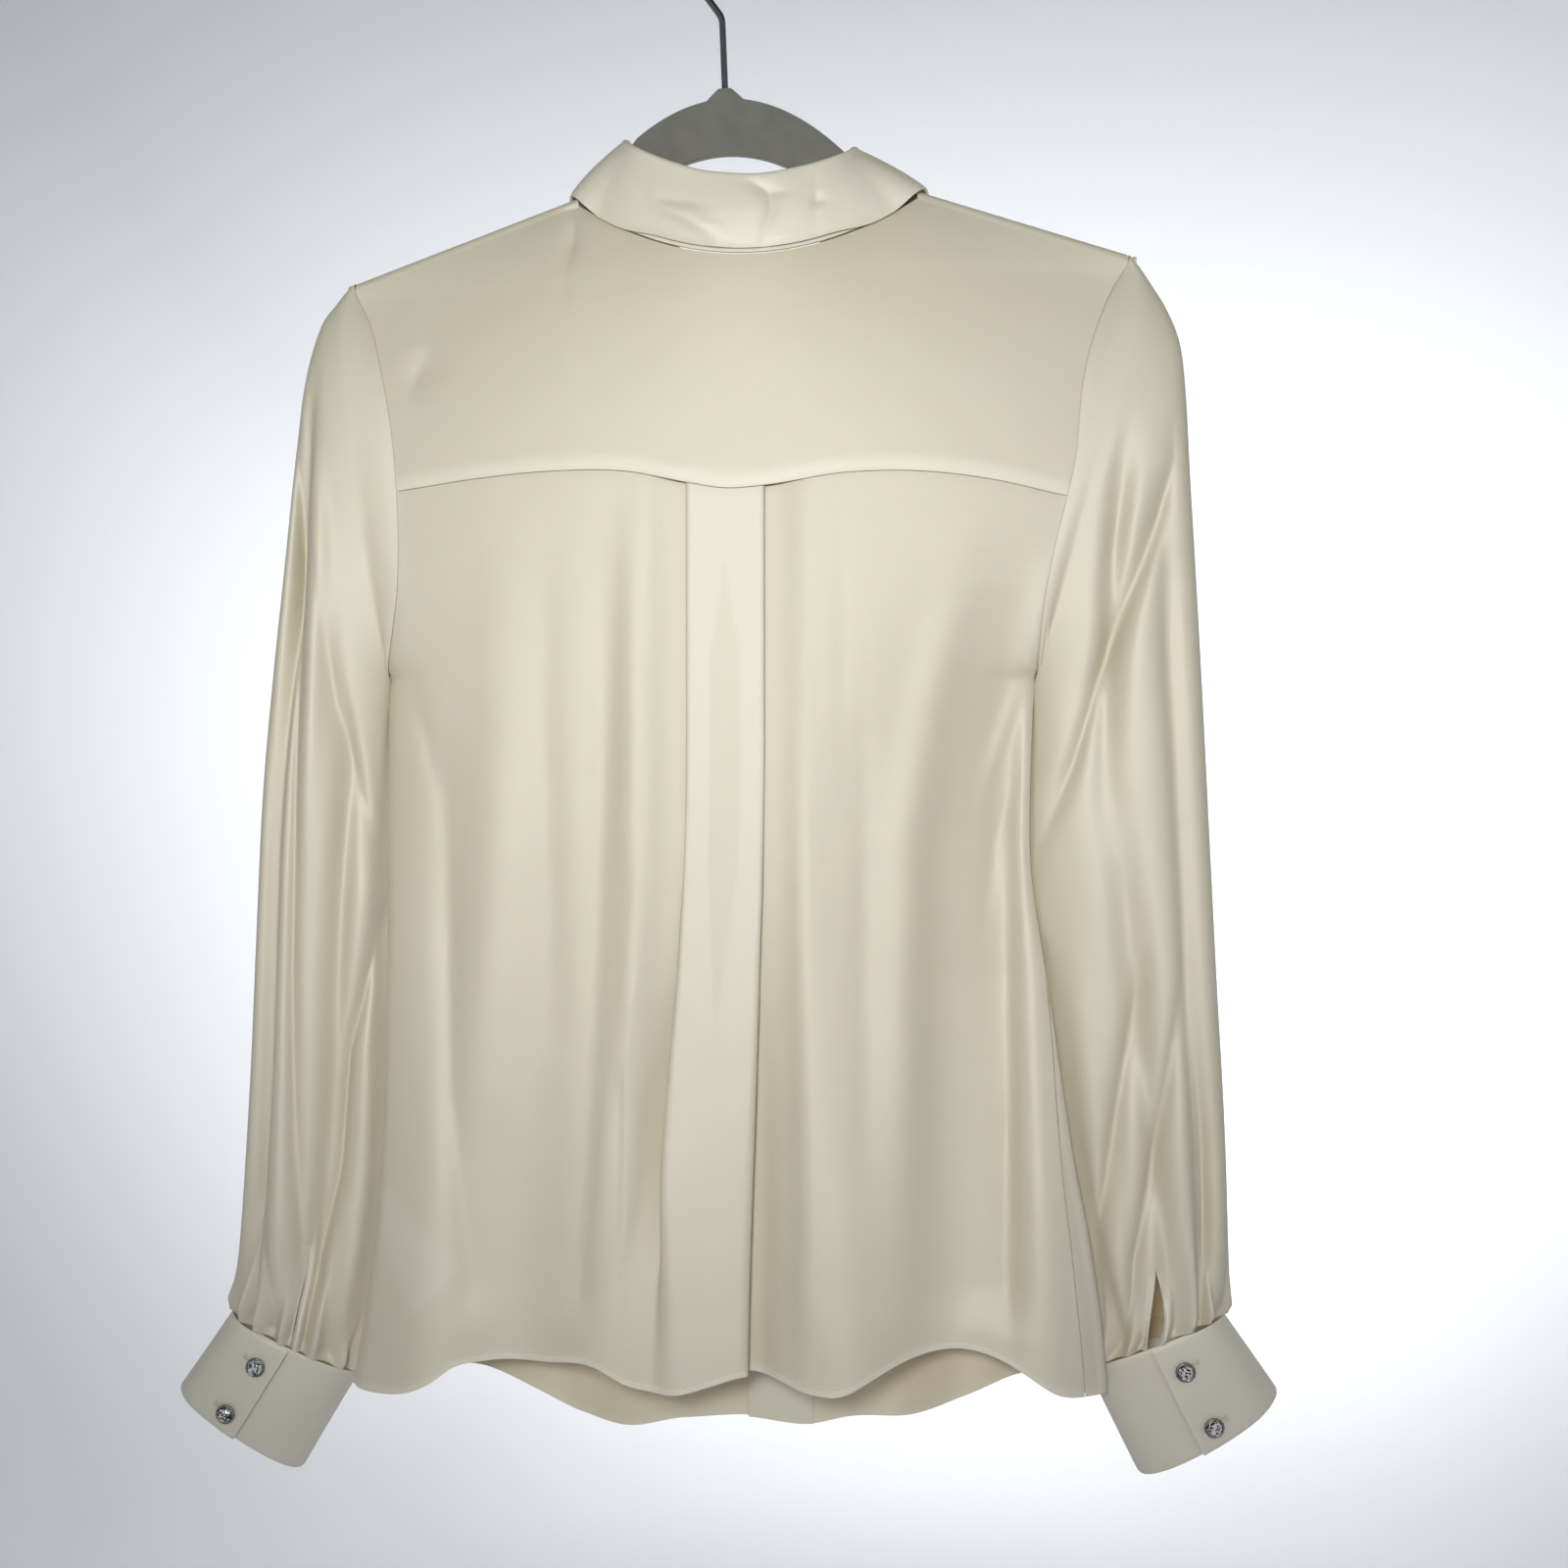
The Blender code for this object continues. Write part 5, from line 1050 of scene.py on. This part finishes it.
# ---------------------------------------------------------------- sleeves
# Long sleeves of the silk, each a tube sewn into its armhole, slit near the wrist for the cuff's
# opening and gathered into the cuff with a row of small pleats.
Ring = namedtuple("Ring", "outer_x outer_z outer_y inner_x inner_z inner_y half near_up")
LEFT_RINGS = in_mm(Ring,
    (-200.5, -195.5, 0, -176, -396, 0, 20, 0), (-208.5, -206.5, 0, -176.8, -406, 2, 21.5, 0),
    (-215, -228, -1, -177.5, -421, 4, 22.5, 0), (-219, -254, -2, -178.2, -443, 6, 23.5, 0),
    (-223, -288, -2, -178.8, -471, 7, 24, 0), (-227.2, -330, -2, -179.2, -504, 8, 24, 0),
    (-233.5, -389, -2, -179.5, -540, 8, 24, 0), (-239.2, -450, -1, -179.5, -580, 9, 24, 0.5),
    (-242.8, -520, 0, -179.8, -622, 10, 24.5, 1), (-246.4, -590, 2, -181.5, -662, 11, 25.5, 2),
    (-251.2, -656, 5, -185, -700, 12, 26.5, 3.5), (-255.8, -699, 9, -190.5, -733, 13, 27, 5),
    (-258.9, -720.5, 12, -195, -751.5, 13, 27.2, 6),
)
RIGHT_RINGS = in_mm(Ring,
    (215, -193, 0, 160, -396.5, 0, 20, 0), (222.5, -205.5, 0, 159.8, -406, 2, 21.5, 0),
    (229, -223, -1, 159.2, -420, 4, 22.5, 0), (231.8, -248, -2, 158.3, -440, 6, 23.5, 0),
    (234, -290, -2, 157.2, -466, 7, 24, 0), (237, -342, -2, 157.5, -500, 8, 24, 0),
    (240.2, -402, -2, 164.5, -540, 8, 24, 0), (243.7, -470, -1, 171.2, -583, 9, 24, 0.5),
    (247.5, -544, 0, 177.5, -625, 10, 24.5, 1), (251.8, -615, 3, 184, -666, 11, 25.5, 2),
    (254, -670, 7, 188.8, -701, 12, 26.5, 3.5), (253.8, -700, 11, 189.5, -727, 15, 27, 5),
    (253.1, -713.6, 13, 185.3, -742.5, 16, 27.2, 6),
)
# Lengthwise folds: turns go round the section from the outer end over the back, and start and
# stop run from 0 at the armhole to 1 at the cuff.
SleeveFold = namedtuple("SleeveFold", "turn_top turn_end start stop out width")
UNDER_FOLDS = (
    SleeveFold(0.620, 0.600, 0.20, 0.98, -0.0070, 0.035),
    SleeveFold(0.760, 0.750, 0.25, 0.98, -0.0070, 0.035),
    SleeveFold(0.890, 0.880, 0.20, 0.98, -0.0065, 0.030),
)
LEFT_FOLDS = UNDER_FOLDS + (
    SleeveFold(0.110, 0.125, 0.16, 0.98, -0.0080, 0.030),
    SleeveFold(0.190, 0.215, 0.20, 0.99, 0.0045, 0.035),
    SleeveFold(0.330, 0.290, 0.34, 0.98, -0.0085, 0.030),
    SleeveFold(0.400, 0.375, 0.30, 0.99, 0.0040, 0.030),
)
RIGHT_FOLDS = UNDER_FOLDS + (
    SleeveFold(0.200, 0.340, 0.10, 0.55, -0.0080, 0.030),
    SleeveFold(0.120, 0.150, 0.30, 0.98, -0.0055, 0.030),
    SleeveFold(0.300, 0.235, 0.45, 0.99, -0.0060, 0.030),
    SleeveFold(0.400, 0.350, 0.50, 0.99, 0.0045, 0.035),
)
LEFT_CREASES = (
    Crease(-8.5, 3.8, 1.9, ((-218.5, -275, 0.3), (-216.9, -325, 0.9), (-217.5, -394, 1),
           (-218.5, -469, 1), (-220, -544, 1), (-219.5, -619, 1), (-215.9, -693, 0.5))),
    Crease(-9, 3.4, 2, ((-170, -330, 0.1), (-167.8, -424, 0.5), (-175.4, -494, 0.7),
           (-187, -554, 1), (-194.6, -581, 1), (-196.7, -609, 1), (-199.2, -643, 0.9),
           (-209.3, -690, 0.3))),
    Crease(-6.6, 9, 1, ((-209.3, -320, 0.1), (-198.2, -404, 1), (-180.5, -474, 0.8),
           (-177.9, -500, 0.1))),
    Crease(-2, 3.4, 1.3, ((-237.8, -620, 0.3), (-235.8, -674, 1), (-228.6, -712, 0.6))),
    Crease(-1.4, 5, 1, ((-230, -360, 0.1), (-233, -480, 0.8), (-236, -600, 0.6))),
)
RIGHT_CREASES = (
    Crease(-9.5, 8.5, 0.45, ((224, -285, 0.2), (215.4, -318.5, 1), (201, -357.1, 1),
           (186.6, -395.8, 1), (176, -434.5, 0.8), (158.7, -480, 0.2))),
    Crease(2.4, 6, 1, ((201, -325, 0.2), (191.4, -366.7, 1), (182.8, -405.5, 1),
           (169.8, -439.4, 0.2))),
    Crease(-7.5, 4.2, 1.6, ((211, -525, 0.1), (201, -579.8, 1), (195.3, -618.6, 1),
           (190.5, -652.6, 1), (188, -690, 0.3))),
    Crease(-7, 3.8, 1.5, ((229, -535, 0.1), (220.2, -599, 1), (213, -642.6, 1), (205.8, -681.4, 1),
           (202, -725, 0.3))),
    Crease(-5.6, 3.4, 1.4, ((235.4, -575, 0.1), (239.3, -627.8, 1), (240.2, -666.4, 1),
           (239.3, -705, 0.4))),
)
SLIT_TURN = 0.275
SLIT_REACH = 0.150
GATHERS = 17
GATHER_RISE = 0.0044
ROUND = np.linspace(0, 1, 241)


def section(ring, turn, grown=0.0):
    """A point of a section: between its outer and inner ends along a cosine of the turn, and out
    by its half depth times the sine to the power 0.85, fuller than an ellipse."""
    angle = 2 * math.pi * turn
    side = np.sign(np.sin(angle)) * np.abs(np.sin(angle)) ** 0.85
    ends = [np.array([getattr(ring, f"{e}_{k}") for k in "xyz"]) for e in ("outer", "inner")]
    span = np.linalg.norm(ends[1] - ends[0])
    along = 0.5 - np.cos(angle) / 2 * (1 + 2 * grown / span)
    return np.stack([
        blend(ends[0][0], ends[1][0], along),
        blend(ends[0][1], ends[1][1], along) - (ring.half + grown) * side,
        blend(ends[0][2], ends[1][2], along) + ring.near_up * side,
    ], axis=-1)


def armhole_ring(side, turn):
    """The sleeve's first section: the armhole, moved out by the seam gap."""
    angle = 2 * math.pi * turn
    top = crest(tip_x(side)) + RIDGE
    under = UNDERARM[side] - 0.0020
    z = blend(top, under, (1 - np.cos(angle)) / 2)
    over = z > crest(tip_x(side))
    x = np.where(over, tip_x(side), edge_x(side, z))
    back = np.sin(angle) > 0
    depth = np.where(back, panel_depth(x, z, -1), panel_depth(x, z, 1))
    rise = np.clip((z - crest(tip_x(side))) / RIDGE, 0, 1)
    depth = np.where(over, RIDGE * np.sqrt(1 - rise**2), depth)
    depth = np.where(np.abs(np.sin(angle)) < 1e-6, 0.0, depth)
    near_end = smooth((under + 0.030 - z) / 0.030) + smooth((z - top + 0.030) / 0.020)
    x = x + side * (0.0004 + 0.0006 * near_end)
    return np.stack([x, np.where(back, -depth, depth), z], axis=-1)


for label, side, rings, folds, creases, slit_gap, tuck in (
    ("left", -1, LEFT_RINGS, LEFT_FOLDS, LEFT_CREASES, 0.004, 0.0026),
    ("right", 1, RIGHT_RINGS, RIGHT_FOLDS, RIGHT_CREASES, 0.038, 0.0034),
):
    stations = np.concatenate([np.linspace(0, 0.82, 101)[:-1], np.linspace(0.82, 1, 51)])
    at_rings = np.linspace(0, 1, len(rings) + 1)[1:]
    rows, thick = [], []
    for station in stations:
        slit = max(0.0, (station - (1 - SLIT_REACH)) / SLIT_REACH)
        gap = slit_gap * math.sin(math.pi * min(slit * 0.85, 1.0)) if slit > 0 else 0.0
        turn = SLIT_TURN + gap / 2 + ROUND * (1 - gap)
        out = 0 * turn
        for fold in folds:
            strength = smooth((station - fold.start) / 0.18) * smooth((fold.stop - station) / 0.16)
            away = (turn - blend(fold.turn_top, fold.turn_end, station) + 0.5) % 1.0 - 0.5
            out += fold.out * strength * bell(away, fold.width)
        # Gathers: uneven waves, sharp in the valleys, that rise over the last sixth.
        uneven = 0.30 * np.sin(2 * math.pi * 3 * turn + 1.3) + 0.16 * np.sin(2 * math.pi * 7 * turn)
        wave = np.cos(2 * math.pi * (GATHERS * turn + uneven))
        wave = 1 - 2 * np.abs((1 - wave) / 2) ** 0.7
        long = 0.16 + 0.07 * np.sin(2 * math.pi * 5 * turn + 2 * side)
        fade = smooth(1 - (1 - station) / long) * (1 - 0.45 * smooth((station - 0.975) / 0.025))
        out += GATHER_RISE * fade * wave
        far = smooth(-np.sin(2 * math.pi * turn) / 0.5)
        out -= 0.0032 * smooth((station - 0.955) / 0.03) * far
        early = min(station - at_rings[0], 0.0) / (at_rings[1] - at_rings[0])
        ring = Ring(*(
            float(curve(at_rings, [getattr(r, f) for r in rings], max(station, at_rings[0])))
            + early * (getattr(rings[1], f) - getattr(rings[0], f)) for f in Ring._fields
        ))
        # Under the arm the sleeve lies against the side seam, its inner fold just behind it.
        close = smooth(station / 0.06) * smooth((0.94 - station) / 0.20)
        ring = ring._replace(inner_x=ring.inner_x - side * tuck * close,
                             inner_y=ring.inner_y + 0.0030 * close)
        points = section(ring, turn, out)
        if station < at_rings[0]:
            share = station / at_rings[0]
            points = blend(armhole_ring(side, turn), points, share * (2 - share))
        near = smooth(np.sin(2 * math.pi * turn) / 0.35) * smooth(station / 0.06)
        points[:, 1] -= creased(creases, points[:, 0], points[:, 2]) * near
        # Its far side ends 3 mm down inside the cuff, which shows through the slit.
        points[:, 2] -= 0.0030 * smooth((station - 0.97) / 0.03) * far
        rows.append(points)
        at_slit = np.minimum(ROUND, 1 - ROUND) < 0.018
        thick.append(np.where(at_slit & (slit > 0.02), 1.0, 0.0) + 0.3 * (station < 0.014))
    grid = np.stack(rows)
    cloth(f"silk_sleeve_{label}", grid, f"sleeve_{label}",
          np.clip(np.stack(thick), 0, 1), tube=True)

# Inside each armhole the seam's allowance, 9 mm wide, runs under both pieces.
for side, label in ((-1, "left"), (1, "right")):
    ring = armhole_ring(side, np.linspace(0, 1, 161))
    reach = np.linspace(-0.0050, 0.0036, 6)[:, None]
    under = np.linspace(0.0014, 0.0008, 6)[:, None]
    middle = (ring[:, 2].max() + ring[:, 2].min()) / 2
    depth = np.maximum(np.abs(ring[:, 1]) - under, 0) * np.sign(ring[:, 1])
    height = ring[:, 2] - under * np.clip((ring[:, 2] - middle) / 0.09, -1, 1)
    grid = np.stack([ring[:, 0] + side * reach, depth, height], axis=-1)
    cloth(f"armhole_seam_allowance_{label}", grid, None, 1.0, tube=True)

# ---------------------------------------------------------------- cuffs
# Wide cuffs of two layers of the silk with a soft fusing: a band round the wrist whose upper end
# laps over the lower one and is closed by two buttons through slanting buttonholes.
LEFT_CUFF = in_mm(Ring,
    (-259.4, -721.2, 12, -195.3, -752.2, 13, 26.8, 6), (-288, -761.4, 14, -226, -803.5, 14, 25, 6),
)
RIGHT_CUFF = in_mm(Ring,
    (253.4, -714.3, 13, 185.4, -743.2, 16, 26.8, 6), (280, -752, 14, 211, -794.5, 14, 22.5, -1),
)
CUFF_LAP = 0.100
CUFF_LIFT = 0.0026


def cuff_point(rings, turn, down, grown):
    """A point of a cuff: between its two end sections by the share of its height."""
    return blend(section(rings[0], turn, grown), section(rings[1], turn, grown), down)


for label, rings in (("left", LEFT_CUFF), ("right", RIGHT_CUFF)):
    progress = np.linspace(0, 1, 221)
    turn = SLIT_TURN - CUFF_LAP + progress * (1 + CUFF_LAP)
    lift = CUFF_LIFT * smooth((progress - 0.80) / 0.10)
    edge_down = np.concatenate([np.linspace(0, 0.06, 5)[:-1], np.linspace(0.06, 0.94, 25),
                                np.linspace(0.94, 1, 5)[1:]])
    soft = 0.0005 * np.sin(2 * math.pi * (4.3 * progress + 0.2)) * np.sin(math.pi * progress)
    rows = []
    for down in edge_down:
        rolled_in = 0.0005 * (bell(down, 0.012) + bell(1 - down, 0.012))
        puffed = soft * math.sin(math.pi * down)
        rows.append(cuff_point(rings, turn, down, lift + puffed - rolled_in))
    grid = np.stack(rows)
    cloth(f"silk_cuff_{label}", grid, f"cuff_{label}", 1.0, wall=FUSED)

# ---------------------------------------------------------------- cuff buttons and buttonholes
# On each cuff two 10 mm shank buttons: a foil-backed cut crystal set in a ring of nickel-plated
# brass with a beaded rim. Each goes through a buttonhole that is worked on a slant in silk twist.
# Nickel-plated brass, cast with a beaded rim: a warm grey metal, half matt from handling.
nickel = new_material("nickel-plated brass")
place = node(nickel, "TexCoord").outputs["Object"]
rub = node(nickel, "TexNoise", Vector=place, Scale=900.0, Detail=3.0)
dull = node(nickel, "MapRange", Value=rub.outputs[0], To_Min=0.28, To_Max=0.44)
shade = node(nickel, "BsdfPrincipled", Base_Color=linear("#8C8B88"), Metallic=1.0,
             Roughness=dull.outputs[0])
node(nickel, "OutputMaterial", Surface=shade.outputs[0])
# Lead crystal over silver foil under a clear skin. Its sparkle is painted: small bright and dark
# cells in its colour are painted glints and painted dark reflections, finer than its facets.
crystal = new_material("foil-backed cut crystal")
place = node(crystal, "TexCoord").outputs["Object"]
# Painted glints and dark reflections: a random value per cell picks near black or near white for
# the colour.
cells = node(crystal, "TexVoronoi", Vector=place, Scale=1100.0)
painted_glint_mask = node(crystal, "MapRange", Value=cells.outputs[1], From_Min=0.38, From_Max=0.56)
painted_glints = node(crystal, "Mix", {"data_type": "RGBA"}, _0=painted_glint_mask.outputs[0],
             _6=linear("#0C0C0E"), _7=linear("#F4F4F4"))
shade = node(crystal, "BsdfPrincipled", Base_Color=painted_glints.outputs[2], Metallic=0.70,
             Roughness=0.10, Coat_Weight=1.0, Coat_Roughness=0.02)
node(crystal, "OutputMaterial", Surface=shade.outputs[0])
# Silk twist: a firm thread with a slight sheen, its plies drawn as grain 0.4 mm wide.
twist = new_material("silk buttonhole twist")
place = node(twist, "TexCoord").outputs["Object"]
ply = node(twist, "TexNoise", Vector=place, Scale=2500.0)
lay = node(twist, "Bump", Height=ply.outputs[0], Strength=0.5, Distance=0.0002)
shade = node(twist, "BsdfPrincipled", Base_Color=linear("#DFDBC8"), Roughness=0.55,
             Sheen_Weight=0.3, Normal=lay.outputs[0])
node(twist, "OutputMaterial", Surface=shade.outputs[0])


def seat(point, u, v, step, facing):
    """The place of point(u, v), and its unit normal on the side where y has the sign of facing."""
    here = point(u, v)
    normal = np.cross(point(u + step, v) - here, point(u, v + step) - here)
    return here, unit(normal * facing * np.sign(normal[1]))


def square_to(normal):
    """Two unit directions square to a normal and to each other."""
    level = unit(np.cross(normal, [0.0, 0.0, 1.0]))
    return level, np.cross(normal, level)


def turned(profile, place, normal, sides, ripple=0.0):
    """A profile of (radius, height) turned round the normal at a place. ripple beads the widest
    ring: the radius grows by ripple times the cosine of 14 times the turn."""
    profile = np.asarray(profile, float)
    a, b = square_to(normal)
    turn = np.linspace(0, 2 * math.pi, sides, endpoint=False)
    round_ = np.cos(turn)[:, None] * a + np.sin(turn)[:, None] * b
    wide = profile[:, 0] / profile[:, 0].max()
    radius = profile[:, :1] + ripple * wide[:, None] ** 8 * np.cos(14 * turn)
    return place + radius[..., None] * round_ + profile[:, 1][:, None, None] * normal


def crystal_button(name, node_name, place, normal):
    """The ring and the stone: a table of 8 sides, then two rows of facets down to the girdle."""
    base = place + normal * 0.00095
    ring = turned([(0.00002, 0.0), (0.0030, 0.0), (0.0045, 0.0003), (0.0050, 0.0010),
                   (0.0049, 0.0017), (0.0044, 0.0021), (0.0039, 0.0019), (0.0037, 0.0013),
                   (0.00002, 0.0012)], base, normal, 84, 0.00016)
    metal = link(name, grid_mesh(name, ring, closed=True), nickel)
    a, b = square_to(normal)

    def circle(count, radius, height, shift):
        turn = (2 * math.pi * (np.arange(count) + shift) / count)[:, None]
        return base + normal * height + radius * (np.cos(turn) * a + np.sin(turn) * b)

    points = np.vstack([circle(8, 0.0020, 0.0034, 0.0), circle(8, 0.0031, 0.0029, 0.5),
                        circle(16, 0.0039, 0.0018, 0.0)])
    faces = [list(range(8))]
    for k in range(8):
        after = (k + 1) % 8
        middle, last = 8 + k, 16 + 2 * k
        faces += [[k, middle, after], [8 + (k - 1) % 8, last, middle, k],
                  [middle, last, 16 + (2 * k + 1) % 16],
                  [middle, 16 + (2 * k + 1) % 16, 16 + (2 * k + 2) % 16]]
    mesh = bpy.data.meshes.new(f"{name}_stone")
    mesh.from_pydata(points.tolist(), [], faces)
    tidy = bmesh.new()
    tidy.from_mesh(mesh)
    bmesh.ops.recalc_face_normals(tidy, faces=tidy.faces)
    tidy.faces.ensure_lookup_table()
    if np.dot(tidy.faces[0].normal, normal) < 0:
        bmesh.ops.reverse_faces(tidy, faces=tidy.faces)
    tidy.to_mesh(mesh)
    tidy.free()
    belongs(metal, node_name)
    belongs(link(f"{name}_stone", mesh, crystal))


HOLE_WIDTH = 0.0016
HOLE_LIFT = 0.00078


def buttonhole(name, here, normal, direction, length):
    """A worked hole: two close rows of twist beside the slit, and a bar at its far end."""
    place = here + normal * HOLE_LIFT
    direction = unit(direction - normal * (direction @ normal))
    across = np.cross(normal, direction)
    run = np.linspace(0, length, 30)[:, None]
    normals = np.broadcast_to(normal, (30, 3))
    for side, label in ((-1, "low"), (1, "high")):
        line = place + direction * run + across * side * HOLE_WIDTH / 2
        stitches(f"{name}_{label}_row", line, normals, 0.00042, 0.00055, 0.0007, twist)
    bar = place + direction * length + across * np.linspace(-1, 1, 30)[:, None] * HOLE_WIDTH * 0.8
    stitches(f"{name}_bar", bar, normals, 0.00042, 0.00055, 0.0008, twist)


for label, rings, slant in (
    ("left", LEFT_CUFF, (-0.75, 0.0, 0.66)), ("right", RIGHT_CUFF, (0.80, 0.0, 0.60))
):
    for k, down in enumerate((0.27, 0.82), 1):
        def over_lap(turn, down):
            return cuff_point(rings, np.array(turn), down, CUFF_LIFT)

        here, normal = seat(over_lap, SLIT_TURN - 0.040, down, 0.01, -1)
        crystal_button(f"crystal_button_{label}_{k}", f"button_{label}_{k}", here, normal)
        buttonhole(f"buttonhole_{label}_{k}", here, normal, slant, 0.0082)

# ---------------------------------------------------------------- front buttons
# Seven 10 mm buttons down the hidden front: domed nickel-plated brass on a shank. The top one sits
# on the collar stand; the six below it are sewn through the right band, each in an upright worked
# buttonhole.
def outer_front(x, z):
    return panel_point(np.array(x), np.array(z), 1, front_push(np.array(x), np.array(z), -1))


FIRST_HOLE_Z = -0.2750
HOLE_PITCH = 0.0830
dome = [(0.00002, 0.0), (0.0041, 0.0), (0.0050, 0.0011), (0.0048, 0.0016), (0.0042, 0.0018),
        (0.0039, 0.0022), (0.0034, 0.0028), (0.0023, 0.0034), (0.0010, 0.00358), (0.00002, 0.0036)]
for k in range(7):
    if k == 0:
        here = stand_left[6, -8] + np.array([0.002, 0.0, 0.0])
        normal = np.array([0.0, 1.0, 0.10]) / math.hypot(1.0, 0.10)
        gap = 0.0019
    else:
        z = FIRST_HOLE_Z - HOLE_PITCH * (k - 1)
        here, normal = seat(outer_front, float(closure_x(z)), z, 0.003, 1)
        gap = 0.0012
    name = f"front_button_{k + 1}"
    shell = turned(dome, here + normal * gap, normal, 48)
    piece = link(name, grid_mesh(name, shell, closed=True), nickel)
    belongs(piece, f"button_front_{k + 1}")
    if k:
        buttonhole(f"front_buttonhole_{k + 1}", here, normal, (0.0, 0.0, 1.0), 0.0075)

# ---------------------------------------------------------------- care label
# A blank tape of white woven polyester, folded into the left side seam. It lies close inside the
# back and shows faintly through the silk.
# Woven polyester: smooth and whiter than the silk. Its threads are too fine to show and are drawn
# as slanting ribs 1 mm apart.
tape = new_material("white woven polyester tape")
place = node(tape, "TexCoord").outputs["Object"]
weave = node(tape, "TexWave", {"wave_type": "BANDS", "bands_direction": "DIAGONAL"},
             Vector=place, Scale=420.0)
thread = node(tape, "Bump", Height=weave.outputs[1], Strength=0.35, Distance=0.0002)
shade = node(tape, "BsdfPrincipled", Base_Color=linear("#F7F7F4"), Roughness=0.45,
             Sheen_Weight=0.2, Normal=thread.outputs[0])
node(tape, "OutputMaterial", Surface=shade.outputs[0])
across, down = np.meshgrid(np.linspace(0, 1, 31), np.linspace(0, 1, 25))
x, z = (
    blend(blend(LABEL[0][k], LABEL[1][k], across), blend(LABEL[3][k], LABEL[2][k], across), down)
    for k in (0, 1)
)
inside = blend(0.0014, 0.0030, smooth(2 * across)) + 0.0002 * np.sin(9 * down + 4 * across)
cloth("blank_care_label", panel_point(x, z, -1, -inside), "care_label",
      0.0, wall=0.0003, finish=tape)
